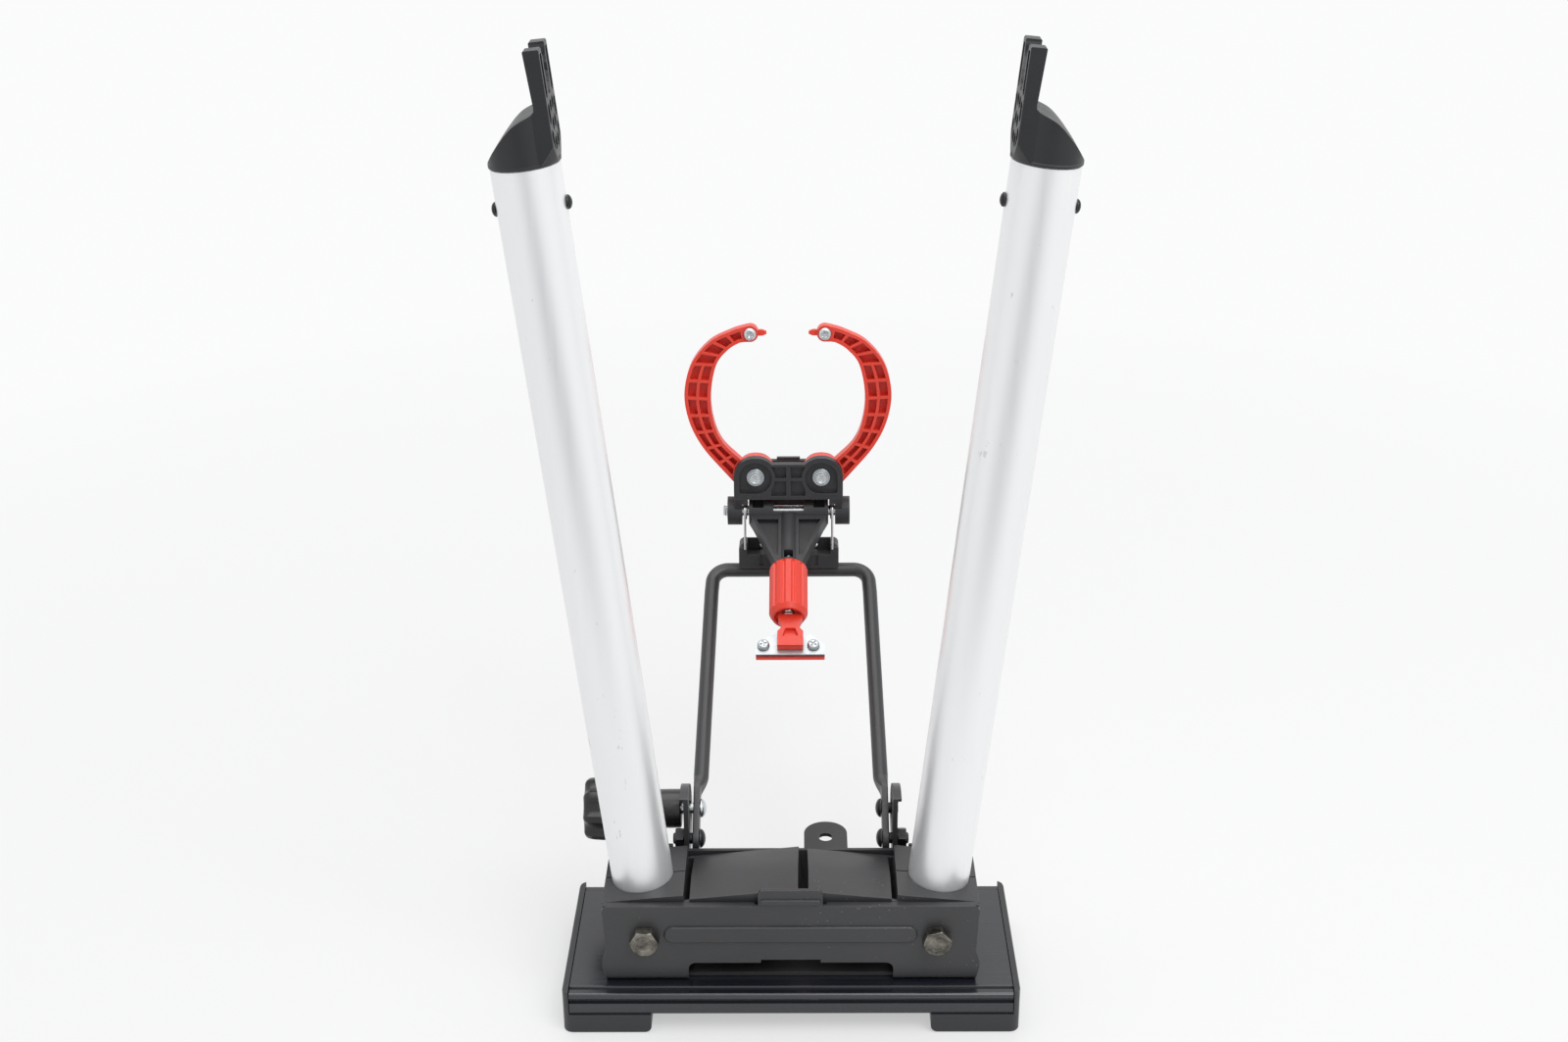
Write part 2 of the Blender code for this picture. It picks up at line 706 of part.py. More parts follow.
def hinge_lug(name, side):
    top = LUG_RADIUS
    front = HOUSING_BACK + GAP - ARM_Y
    low = -LUG_DROP
    lean = math.degrees(math.acos(max(-1.0, min(1.0, front / LUG_RADIUS))))
    outline = arc(0, 0, LUG_RADIUS, lean, -5, 9)
    outline += [(9, low * 0.65), (front + 3, low), (front, low)]
    at = Matrix.Translation((0, ARM_Y * MM, ARM_Z * MM))
    rim_out = LUG_INNER + LUG_SHEET + LUG_RIM
    ob = prism(name + "_plate", outline, side * LUG_INNER, side * (LUG_INNER + LUG_SHEET),
               "YZ", at)
    ring = arc(0, 0, top, lean, -5, 9) + arc(0, 0, top - LUG_RIM_WIDTH, -5, lean, 9)
    rim = prism(name + "_rim", ring, side * (LUG_INNER + 0.5), side * rim_out, "YZ", at)
    nut_end = LUG_INNER + LUG_SHEET + GAP + ARM_NUT_HEIGHT
    foot_top = -ARM_NUT / math.sqrt(3) - GAP
    hex_reach = PIVOT_HEX / math.sqrt(3) + 1
    notch_x = PIVOT_X - hex_reach
    notch_z = PIVOT_Z + hex_reach - ARM_Z
    outline = rounded([(LUG_INNER + 0.5, low), (notch_x, low, 2), (notch_x, notch_z),
                       (LUG_INNER + LUG_FOOT, notch_z, 2), (LUG_INNER + LUG_FOOT, 0, 2),
                       (nut_end + 1, 0), (nut_end + 1, foot_top),
                       (LUG_INNER + 0.5, foot_top)], 3)
    foot = prism(name + "_foot", flip(outline, side), front, front + SHEET, "XZ", at)
    fuse(ob, rim, foot)
    pivot = bar(name + "_hole", ARM_BOLT / 2 + HOLE_CLEARANCE, side * (LUG_INNER - 1),
                side * (rim_out + 1), "X", (0, 0, 0), at)
    width = ARM_BOLT + 2 * HOLE_CLEARANCE
    start = 90 - ARM_LEAN + ARM_RAISE + 2
    end = 90 - ARM_LEAN - ARM_LOWER - 2
    track = arc(0, 0, CLAMP_RADIUS + width / 2, start, end, 10)
    far = Vector(arc(0, 0, CLAMP_RADIUS, end, end, 1)[0])
    track += arc(far.x, far.y, width / 2, end, end - 180, 6)[1:-1]
    track += arc(0, 0, CLAMP_RADIUS - width / 2, end, start, 10)
    near = Vector(arc(0, 0, CLAMP_RADIUS, start, start, 1)[0])
    track += arc(near.x, near.y, width / 2, start + 180, start, 6)[1:-1]
    cut(ob, pivot, prism(name + "_slot", track, side * (LUG_INNER - 1), side * (rim_out + 1),
                         "YZ", at))
    piece(ob, name, PAINTED_STEEL)


# Uprights

def upright_frame(side):
    turn = Matrix.Rotation(math.radians(-LEAN * side), 4, "Y")
    return Matrix.Translation((-side * PIVOT_X * MM, TUBE_Y * MM, PIVOT_Z * MM)) @ turn


def upright(name, side, wing):
    # In the upright's own frame X times side points to the stand's middle, Z along the tube.
    at = upright_frame(side)
    front = BRACKET_FRONT - TUBE_Y
    back = BRACKET_BACK - TUBE_Y
    hole_radius = PIVOT_BOLT / 2 + HOLE_CLEARANCE
    radius = TUBE_OD / 2

    def cross_hole(label):
        return bar(name + label, hole_radius, front - 5, back + 5, "Y", (0, 0, 0), at)

    # Bracket: a folded sheet whose two flanges turn on the pivot bolt
    slope = WING_TOP - WING_SLOPE
    fold = [(front, -40), (front, WING_TOP), (0, WING_TOP), (back, slope), (back, -40),
            (back - SHEET, -40), (back - SHEET, slope - SHEET), (0, WING_TOP - SHEET),
            (front + SHEET, WING_TOP - SHEET), (front + SHEET, -40)]
    sheet = prism(name + "_sheet", fold, side * -18, side * wing, "YZ", at)
    drop = WING_FLANGE_DROP
    link_end = wing if wing >= LINK_REACH else wing - 6
    edge = arc(0, 0, 14.5, -90, -180, 6)
    shape = [(wing + 1, WING_TOP + 1), (wing + 1, WING_TOP - 5), (link_end, WING_TOP - 7),
             (link_end, -drop + 4), (link_end - 5, -drop), (12, -14.5)]
    shape += edge + [(-14.5, WING_TOP + 1)]
    keep(sheet, prism(name + "_outline", flip(shape, side), front - 1, back + 1, "XZ", at))
    open_box = block(name + "_open", span(side, -30, WING_START),
                     (front + SHEET, back - SHEET), (-40, 40), at)
    top_box = block(name + "_top", span(side, -30, WING_START), (front - 2, back + 2),
                    (SOCKET_TOP - SOCKET_STEP - GAP, 40), at)
    cut(sheet, open_box, top_box)
    if wing >= LINK_REACH:
        fuse(sheet, bar(name + "_link", LINK_PIN / 2, front + 0.5, front + 2 * SHEET + 2, "Y",
                        (side * LINK_REACH, 0, 0), at))
    else:
        reach = LINK_REACH + LINK_PIN / 2 + LINK_TRAVEL + HOLE_CLEARANCE + 3
        inner = front + SHEET + GAP
        tongue = block(name + "_tongue", span(side, wing - 16, reach), (inner, inner + SHEET),
                       (-LINK_TONGUE / 2, LINK_TONGUE / 2), at)
        lap = block(name + "_lap", span(side, wing - 16, link_end - 1),
                    (front + SHEET / 2, inner + SHEET / 2), (-4, 4), at)
        track = slot(side * LINK_REACH, 0, LINK_PIN + 2 * (LINK_TRAVEL + HOLE_CLEARANCE),
                     LINK_PIN + 2 * HOLE_CLEARANCE)
        fuse(sheet, lap, tongue)
        cut(sheet, prism(name + "_track", track, inner - 0.1, inner + SHEET + 1, "XZ", at))
    cut(sheet, cross_hole("_bracket_hole"))
    piece(sheet, name + "_bracket", PAINTED_STEEL)

    # Socket that holds the tube between the bracket's flanges
    step = SOCKET_TOP - SOCKET_STEP
    body = block(name + "_lower", span(side, -SOCKET_OUTER, SOCKET_INNER),
                 (front + SHEET + GAP, back - SHEET - GAP), (-SOCKET_BELOW, SOCKET_TOP), at)
    rim = block(name + "_upper", span(side, -SOCKET_OUTER, SOCKET_INNER), (front, back),
                (step, SOCKET_TOP), at)
    fuse(bevel(body, 1.0, 1), rim)
    bore = bar(name + "_bore", radius + GAP, -SOCKET_BELOW - 1, SOCKET_TOP + 1, "Z",
               (0, 0, 0), at, sides=32)
    seam = block(name + "_seam", (-40, 40), (-0.4, 0.4), (SOCKET_TOP - 0.6, 40), at)
    cut(body, bore, seam, cross_hole("_socket_hole"))
    piece(body, name + "_socket", PAINTED_STEEL)

    # Tube
    tube = bar(name + "_outside", radius, -TUBE_BELOW_PIVOT, TUBE_TOP, "Z", (0, 0, 0), at,
               sides=32)
    inside = bar(name + "_inside", radius - TUBE_WALL, -TUBE_BELOW_PIVOT - 1, TUBE_TOP + 1,
                 "Z", (0, 0, 0), at, sides=32)
    screw_z = TUBE_TOP - CAP_SCREW_DROP
    screws = bar(name + "_screw_holes", CAP_SCREW / 2 + HOLE_CLEARANCE, -radius - 1, radius + 1,
                 "X", (0, 0, screw_z), at, sides=16)
    cut(tube, inside, cross_hole("_tube_hole"), screws)
    piece(tube, name + "_tube", ALUMINIUM)

    dropout_cap(name, side, at)
    for label, way in (("outer", -side), ("inner", side)):
        face = radius + GAP
        dome = [(0, CAP_SCREW_DOME)]
        for angle in (50, 18):
            a = math.radians(angle)
            dome.append((CAP_SCREW_HEAD / 2 * math.cos(a), CAP_SCREW_DOME * math.sin(a)))
        dome += [(CAP_SCREW_HEAD / 2, 0), (CAP_SCREW / 2, 0), (CAP_SCREW / 2, -CAP_SCREW_LENGTH),
                 (0, -CAP_SCREW_LENGTH)]
        turn = Matrix.Rotation(math.radians(90 * way), 4, "Y")
        spot = at @ Matrix.Translation(Vector((way * face, 0, screw_z)) * MM) @ turn
        screw = turned(name + "_dome_" + label, dome, "Z", (0, 0, 0), spot, 12)
        socket = bar(name + "_key_" + label, 1.25, CAP_SCREW_DOME - 1.1, CAP_SCREW_DOME + 1,
                     "Z", (0, 0, 0), spot, sides=6)
        cut(screw, socket)
        piece(screw, name + "_cap_screw_" + label, BLACK_STEEL)


def dropout_cap(name, side, at):
    # Domed outside, flat pocketed inside, two prongs with the axle slot between them.
    radius = TUBE_OD / 2 + 0.4
    inner = TUBE_OD / 2
    base = CAP_BASE
    dome_top = base + CAP_DOME
    top = base + CAP_HEIGHT
    prong = inner - PRONG_THICKNESS
    curve = [(-radius - 0.4, CAP_RIM), (-radius * 0.62, CAP_DOME * 0.42), (-1.0, CAP_DOME * 0.8)]
    curve.append((prong - 1.5, CAP_DOME))
    back_edge = [tuple(spline_point(curve, i / 8)) for i in range(9)]
    shape = [(-radius - 0.4, base)] + [(a, base + b) for a, b in back_edge]
    shape += rounded([(prong, dome_top + 3, 3), (prong, top, 1.5), (inner, top, 1.0)], 3)[4:]
    shape += [(inner, base)]
    body = prism(name + "_profile", flip(shape, side), -radius - 1, radius + 1, "XZ", at)
    half = PRONG_WIDTH / 2
    plan = [(inner + 1, -half), (inner + 1, half), (4, half + 0.4)]
    plan += arc(0, 0, radius, 75, 285, 20) + [(4, -half - 0.4)]
    keep(body, prism(name + "_plan", flip(plan, side), base - 2, top + 2, "XY", at))
    collar = bar(name + "_collar", radius + 0.1, base, base + CAP_RIM, "Z", (0, 0, 0), at,
                 sides=32)
    plug_radius = TUBE_OD / 2 - TUBE_WALL - GAP
    plug = bar(name + "_plug", plug_radius, base - CAP_PLUG, base + CAP_RIM / 2, "Z",
               (0, 0, 0), at, sides=32)
    fuse(body, collar, plug)
    hollow = bar(name + "_hollow", plug_radius - CAP_PLUG_WALL, base - CAP_PLUG - 1, base - 2,
                 "Z", (0, 0, 0), at, sides=24)
    holes = bar(name + "_plug_holes", CAP_SCREW / 2 + HOLE_CLEARANCE, -30, 30, "X",
                (0, 0, TUBE_TOP - CAP_SCREW_DROP), at, sides=16)
    bottom = top - DROPOUT_DEPTH
    mouth = DROPOUT_SLOT / 2
    axle = [(mouth + 1.5, top + 1), (mouth + 1.5, top - 1.5), (mouth, top - 4)]
    axle += arc(0, bottom + mouth, mouth, 0, -180, 10)
    axle += [(-mouth, top - 4), (-mouth - 1.5, top - 1.5), (-mouth - 1.5, top + 1)]
    groove = prism(name + "_axle", axle, side * (prong - 8), side * (inner + 2), "YZ", at)
    cells = []
    row = (bottom - CAP_POCKET_WEB - (base + 4.6)) / CAP_POCKET_ROWS
    for i in range(CAP_POCKET_ROWS):
        z0 = base + 4.6 + i * row
        for column in (-1, 1):
            y0 = column * CAP_POCKET_WEB / 2
            y1 = column * (half - 2.2)
            cells.append(block(name + "_cell", span(side, inner - CAP_POCKET_DEPTH, inner + 2),
                               (y0, y1), (z0, z0 + row - CAP_POCKET_WEB), at))
    cut(body, hollow, holes, groove, merged(name + "_cells", cells, at))
    piece(body, name + "_dropout_cap", GREY_PLASTIC)


# Arm

def arm_frame():
    turn = Matrix.Rotation(math.radians(-ARM_LEAN), 4, "X")
    return Matrix.Translation((0, ARM_Y * MM, ARM_Z * MM)) @ turn


def arm():
    at = arm_frame()
    corner = ARM_CORNER
    points = [(-ARM_FOOT_HALF, 0, ARM_ROD_START)]
    for a, b in arc(-ARM_TOP_HALF + corner, ARM_LENGTH - corner, corner, 180, 90, 5):
        points.append((a, 0, b))
    points += [(-a, 0, b) for a, _, b in reversed(points)]
    ob = wire("arm_rod", points, ARM_ROD / 2, 3, at)
    for name, side in (("left", -1), ("right", 1)):
        half = BLADE_WIDTH / 2
        blade = arc(0, 0, half, 180, 360, 10)
        blade += [(half, BLADE_LENGTH - 4), (ARM_ROD / 2 - 0.4, BLADE_LENGTH + 4),
                  (-ARM_ROD / 2 + 0.4, BLADE_LENGTH + 4), (-half, BLADE_LENGTH - 4)]
        flat = prism("blade_" + name, blade, side * BLADE_INNER,
                     side * (BLADE_INNER + BLADE_THICKNESS), "YZ", at)
        holes = [bar("blade_hole", ARM_BOLT / 2 + HOLE_CLEARANCE, side * (BLADE_INNER - 5),
                     side * (BLADE_INNER + 8), "X", (0, 0, t), at) for t in (0, CLAMP_RADIUS)]
        fuse(ob, flat)
        cut(ob, merged("blade_holes_" + name, holes, at))
    piece(ob, "arm_frame", PAINTED_STEEL)
    for name, side in (("left", -1), ("right", 1)):
        hinge_screw("arm_pivot_screw_" + name, side, 0, LUG_INNER + LUG_SHEET + GAP
                    + ARM_NUT_HEIGHT + 1.2, at, BLACK_STEEL)
        nut_face = LUG_INNER + LUG_SHEET + GAP
        nut = hexagon("arm_nut_" + name, ARM_NUT, side * nut_face,
                      side * (nut_face + ARM_NUT_HEIGHT), "X", (0, 0, 0), at)
        cut(nut, bar("arm_nut_bore_" + name, ARM_BOLT / 2 + HOLE_CLEARANCE, side * 40,
                     side * 80, "X", (0, 0, 0), at))
        piece(nut, "arm_pivot_nut_" + name, BLACK_STEEL)
    hinge_screw("arm_stop_pin", 1, CLAMP_RADIUS, LUG_INNER + LUG_SHEET + 1.2, at, BLACK_STEEL)
    bolt_end = knob_start() + KNOB_HUB_LENGTH - 4
    hinge_screw("clamp_bolt", -1, CLAMP_RADIUS, bolt_end, at, ZINC)
    knob(at)


def knob_start():
    return LUG_INNER + LUG_SHEET + LUG_RIM + GAP


def hinge_screw(name, side, height, end, at, mat):
    head = DOME_HEAD / 2
    face = BLADE_INNER - GAP
    outline = [(0, face - DOME_HEIGHT)]
    for angle in (55, 22):
        a = math.radians(angle)
        outline.append((head * math.cos(a), face - DOME_HEIGHT * math.sin(a)))
    outline += [(head, face), (ARM_BOLT / 2, face), (ARM_BOLT / 2, end), (0, end)]
    profile = [(r, side * h) for r, h in outline]
    if side > 0:
        profile.reverse()
    ob = turned(name + "_body", profile, "X", (0, 0, height), at, 16)
    piece(ob, name, mat)


def knob(at):
    inner = knob_start()
    shoulder = inner + KNOB_HUB_LENGTH
    outer = shoulder + KNOB_HEAD_LENGTH
    hub = KNOB_HUB / 2
    centre = (0, 0, CLAMP_RADIUS)
    body = turned("knob_hub", [(0, -inner), (hub - 0.8, -inner), (hub, -inner - 1),
                               (hub - 0.6, -shoulder), (hub - 0.6, -shoulder - 4),
                               (0, -shoulder - 4)], "X", centre, at, 24)
    head = KNOB_HEAD / 2
    profile = [(0, -shoulder), (head - 2, -shoulder), (head, -shoulder - 2),
               (head - 0.6, -outer + 3), (head - 3.2, -outer), (0, -outer)]
    lobes = turned("knob_head", profile, "X", centre, at, 32)
    cuts = []
    for i in range(KNOB_LOBES):
        a = 2 * math.pi * (i + 0.5) / KNOB_LOBES
        scoop = head * 0.32
        reach = head + scoop - KNOB_LOBE_CUT
        cuts.append(bar("scoop", scoop, -shoulder + 1, -outer - 1, "X",
                        (0, reach * math.cos(a), CLAMP_RADIUS + reach * math.sin(a)), at, 12))
    cut(lobes, merged("knob_scoops", cuts, at))
    fuse(body, lobes)
    cut(body, bar("knob_bore", ARM_BOLT / 2 + HOLE_CLEARANCE, -inner + 1,
                  -(inner + KNOB_HUB_LENGTH - 3), "X", centre, at),
        bar("knob_dish", head * 0.55, -outer - 1, -outer + 1.5, "X", centre, at))
    piece(body, "clamp_knob", GLOSS_PLASTIC)


# Saddle, pin and springs

def saddle_frame():
    turn = Matrix.Rotation(math.radians(ARM_LEAN - SADDLE_LEAN), 4, "X")
    return arm_frame() @ Matrix.Translation((0, 0, ARM_LENGTH * MM)) @ turn


def pin_frame():
    return saddle_frame() @ Matrix.Translation((0, 0, PIN_RISE * MM))


def saddle():
    at = saddle_frame()
    grip = ARM_ROD / 2 + GAP
    start = math.degrees(math.asin(min(1, SADDLE_SKIRT / grip)))
    section = [(-SADDLE_FRONT, SADDLE_SKIRT),
               (-SADDLE_FRONT, SADDLE_TOP - SADDLE_CHAMFER),
               (-SADDLE_FRONT + SADDLE_CHAMFER, SADDLE_TOP),
               (SADDLE_BACK - 1.5, SADDLE_TOP), (SADDLE_BACK, SADDLE_TOP - 1.5),
               (SADDLE_BACK, -SADDLE_HOOK), (grip, -SADDLE_HOOK)]
    section += arc(0, 0, grip, 0, 180 - start, 10)
    ob = prism("saddle_body", section, -SADDLE_HALF, SADDLE_HALF, "YZ", at)
    front = rounded([(-SADDLE_HALF - 1, -SADDLE_HOOK - 1), (SADDLE_HALF + 1, -SADDLE_HOOK - 1),
                     (SADDLE_HALF, SADDLE_TOP + 0.5, 4.5), (-SADDLE_HALF, SADDLE_TOP + 0.5, 4.5)])
    keep(ob, prism("saddle_front", front, -SADDLE_FRONT - 1, SADDLE_BACK + 1, "XZ", at))
    pockets = []
    for x0, x1 in ((-11.5, -1.0), (1.0, 11.5), (18.6, 23.4), (-23.4, -18.6)):
        pockets.append(block("pocket", (x0, x1), (-SADDLE_FRONT - 1, -SADDLE_FRONT + 3.0),
                             (SADDLE_SKIRT + 3.4, SADDLE_TOP - 4.5), at))
    for x0, x1 in ((-24, -14), (-12, -1), (1, 12), (14, 24)):
        pockets.append(block("pocket", (x0, x1), (SADDLE_BACK - 3.0, SADDLE_BACK + 1),
                             (grip + 3, SADDLE_TOP - 3), at))
    cut(ob, merged("saddle_pockets", pockets, at))
    sights = [bar("sight", 1.6, -SADDLE_FRONT - 2, SADDLE_BACK + 2, "Y", (x, 0, 13.0), at, 12)
              for x in (-15, 15)]
    cut(ob, merged("saddle_sights", sights, at))
    for name, side in (("left", -1), ("right", 1)):
        neck = arc(0, PIN_RISE, KNUCKLE_RADIUS, -20, 200, 12)
        neck += [(-KNUCKLE_NECK, SADDLE_TOP - 2), (KNUCKLE_NECK, SADDLE_TOP - 2)]
        fuse(ob, prism("knuckle_" + name, neck, side * KNUCKLE_INNER, side * KNUCKLE_OUTER,
                       "YZ", at))
    cut(ob, bar("knuckle_bore", PIN / 2 + HOLE_CLEARANCE, -30, 30, "X", (0, 0, PIN_RISE), at))
    piece(ob, "saddle", GREY_PLASTIC)


def pin():
    at = pin_frame()
    face = EAR_OUTER + GAP
    end = face + PIN_NUT_HEIGHT + 1.0
    shaft = bar("pin_shaft", PIN / 2, -end, face + 1, "X", (0, 0, 0), at)
    head = hexagon("pin_head", PIN_HEAD, face, face + PIN_HEAD_HEIGHT, "X", (0, 0, 0), at)
    piece(fuse(shaft, head), "pivot_pin", ZINC)
    nut = hexagon("pin_nut_body", PIN_HEAD, -face, -face - PIN_NUT_HEIGHT, "X", (0, 0, 0), at)
    cut(nut, bar("pin_nut_bore", PIN / 2 + HOLE_CLEARANCE, -face + 1, -end - 1, "X",
                 (0, 0, 0), at))
    piece(nut, "pin_nut", ZINC)


def spring(name, side):
    # A coil round the pin whose leg runs down in front of the saddle.
    at = pin_frame()
    steps = 10
    points = [(SPRING_OUTER, -SPRING_LEG_FRONT, -SPRING_LEG_DROP),
              (SPRING_OUTER, -SPRING_LEG_FRONT, -PIN_RISE + SADDLE_TOP + 1.5)]
    turns = max(int(round(SPRING_TURNS * steps)), 2)
    for i in range(turns + 1):
        a = math.radians(180 - 360 * i / steps)
        points.append((SPRING_OUTER - SPRING_PITCH * i / steps,
                       SPRING_RADIUS * math.cos(a), SPRING_RADIUS * math.sin(a)))
    least = SPRING_PITCH - SPRING_WIRE
    print("spring: least gap between turns", round(least, 2), "mm")
    ob = wire(name + "_coil", [(side * x, y, z) for x, y, z in points], SPRING_WIRE / 2, 1, at)
    piece(ob, name, SPRING_STEEL)


# Caliper head

def head_frame():
    turn = Matrix.Rotation(math.radians(SADDLE_LEAN - HEAD_LEAN), 4, "X")
    return pin_frame() @ turn


def head_outline(inset):
    arch = BOSS_ARCH - inset
    low = HEAD_BOTTOM + inset
    valley = HEAD_VALLEY - inset
    rise = math.degrees(math.asin(max(-1, min(1, (valley - BOSS_RISE) / arch))))
    right = [(BOSS_HALF + arch, low), (BOSS_HALF + arch, BOSS_RISE)]
    right += arc(BOSS_HALF, BOSS_RISE, arch, 0, 180 - rise, 8)[1:]
    left = [(-a, b) for a, b in reversed(right)]
    return right + left


def head():
    at = head_frame()
    cover = prism("cover_body", head_outline(0), COVER_FRONT, COVER_INNER, "XZ", at)
    pocket = prism("cover_pocket", head_outline(COVER_WALL), COVER_FRONT - 1,
                   COVER_FRONT + COVER_POCKET, "XZ", at)
    ribs = [block("rib", (-COVER_RIB / 2, COVER_RIB / 2), (-30, 0), (0, 60), at),
            block("rib", (-60, 60), (-30, 0), (BOSS_RISE - COVER_RIB / 2,
                                               BOSS_RISE + COVER_RIB / 2), at)]
    bosses = [bar("boss", WASHER / 2 + 1.8, -30, 0, "Y", (x, 0, BOSS_RISE), at, 20)
              for x in (-BOSS_HALF, BOSS_HALF)]
    cut(pocket, *ribs)
    cut(pocket, *bosses)
    for name, side in (("left", -1), ("right", 1)):
        ear = arc(0, 0, EAR_RADIUS, -170, 15, 10)
        ear += [(BACK_INNER, HEAD_BOTTOM * 0.7), (COVER_INNER, HEAD_BOTTOM + 1),
                (COVER_INNER, HEAD_BOTTOM + 6), (COVER_FRONT + 1, HEAD_BOTTOM + 6),
                (COVER_FRONT + 0.4, 4)]
        fuse(cover, prism("ear_" + name, ear, side * EAR_INNER, side * EAR_OUTER, "YZ", at))
    cut(cover, pocket)
    cut(cover, bar("ear_bore", PIN / 2 + HOLE_CLEARANCE, -40, 40, "X", (0, 0, 0), at))
    screw_radius = CLAW_SCREW / 2 + HOLE_CLEARANCE
    cut(cover, merged("cover_holes", [
        bar("cover_hole", screw_radius, COVER_FRONT - 1, COVER_INNER + 1, "Y",
            (x, 0, BOSS_RISE), at, 20) for x in (-BOSS_HALF, BOSS_HALF)], at))
    piece(cover, "head_cover", GREY_PLASTIC)

    tab = [(BACK_TAB_HALF, HEAD_VALLEY - 3), (BACK_TAB_HALF, BACK_TAB_TOP),
           (-BACK_TAB_HALF, BACK_TAB_TOP), (-BACK_TAB_HALF, HEAD_VALLEY - 3)]
    plate = prism("back_body", head_outline(0.6), BACK_INNER, BACK_OUTER, "XZ", at)
    fuse(plate, prism("back_tab", tab, BACK_INNER + 0.4, BACK_OUTER - 0.4, "XZ", at))
    cut(plate, merged("back_holes", [
        bar("back_hole", screw_radius, BACK_INNER - 1, BACK_OUTER + 1, "Y",
            (x, 0, BOSS_RISE), at, 20) for x in (-BOSS_HALF, BOSS_HALF)], at))
    piece(plate, "head_back", GREY_PLASTIC)

    for name, side in (("left", -1), ("right", 1)):
        x = side * BOSS_HALF
        face = COVER_FRONT - GAP
        top = face - WASHER_HEIGHT - CLAW_SCREW_HEAD_HEIGHT
        head_radius = CLAW_SCREW_HEAD / 2
        far = BACK_OUTER + GAP + CLAW_NUT_HEIGHT
        profile = [(0, top), (head_radius - 0.5, top), (head_radius, top + 0.5),
                   (head_radius, face - WASHER_HEIGHT), (WASHER / 2, face - WASHER_HEIGHT),
                   (WASHER / 2, face), (CLAW_SCREW / 2, face), (CLAW_SCREW / 2, far), (0, far)]
        profile.reverse()
        screw = turned("claw_screw_" + name + "_body", profile, "Y", (x, 0, BOSS_RISE), at, 16)
        cut(screw, hexagon("claw_key_" + name, CLAW_SCREW_HEAD * 0.5, top - 1, top + 2.0, "Y",
                           (x, 0, BOSS_RISE), at))
        piece(screw, "claw_screw_" + name, ZINC)


def gear_outline(phase, first, last):
    # Involute teeth of a sector about the origin, at phase plus whole pitches.
    pitch_radius = BOSS_HALF
    module = 2 * pitch_radius / GEAR_TEETH
    base = pitch_radius * math.cos(math.radians(20))
    tip = pitch_radius + GEAR_DEPTH_OUT * module
    root = pitch_radius - GEAR_DEPTH_IN * module
    step = 360 / GEAR_TEETH

    def involute(radius):
        ratio = max(radius / base, 1.0)
        roll = math.sqrt(ratio * ratio - 1)
        return math.degrees(roll - math.atan(roll))

    half = step / 4 - math.degrees(GEAR_BACKLASH / 2 / pitch_radius) + involute(pitch_radius)
    outline = []
    for k in range(first, last + 1):
        middle = phase + k * step
        radii = [root] + [base + (tip - base) * i / 3 for i in range(4)]
        rising = [(r, middle - half + involute(r)) for r in radii]
        falling = [(r, middle + half - involute(r)) for r in reversed(radii)]
        for r, a in rising + falling:
            angle = math.radians(a)
            outline.append((r * math.cos(angle), r * math.sin(angle)))
    return outline


CLAW_OUTER = [(-26.0, 12.5), (-38.5, 25.0), (-49.2, 39.4), (-56.2, 55.2), (-58.1, 70.0),
              (-53.6, 86.0), (-43.5, 98.2), (-31.0, 104.2)]
CLAW_INNER = [(-21.5, 26.5), (-29.4, 36.8), (-38.0, 47.8), (-42.6, 59.0), (-43.0, 70.0),
              (-39.6, 85.4), (-33.0, 93.2), (-26.5, 96.6)]


def claw_cell(low, high, near, far, count):
    # One pocket between two stations along the claw, near and far across it from 0 to 1.
    corners = []
    for t in (low, high):
        outer = spline_point(CLAW_OUTER, t)
        inner = spline_point(CLAW_INNER, t)
        width = (outer - inner).length
        wall = CLAW_WALL / width
        a = wall + (1 - 2 * wall) * near + (CLAW_RIB / 2 / width if near > 0 else 0)
        b = wall + (1 - 2 * wall) * far - (CLAW_RIB / 2 / width if far < 1 else 0)
        corners.append((tuple(inner.lerp(outer, a)), tuple(inner.lerp(outer, b))))
    return [corners[0][0], corners[0][1], corners[1][1], corners[1][0]]


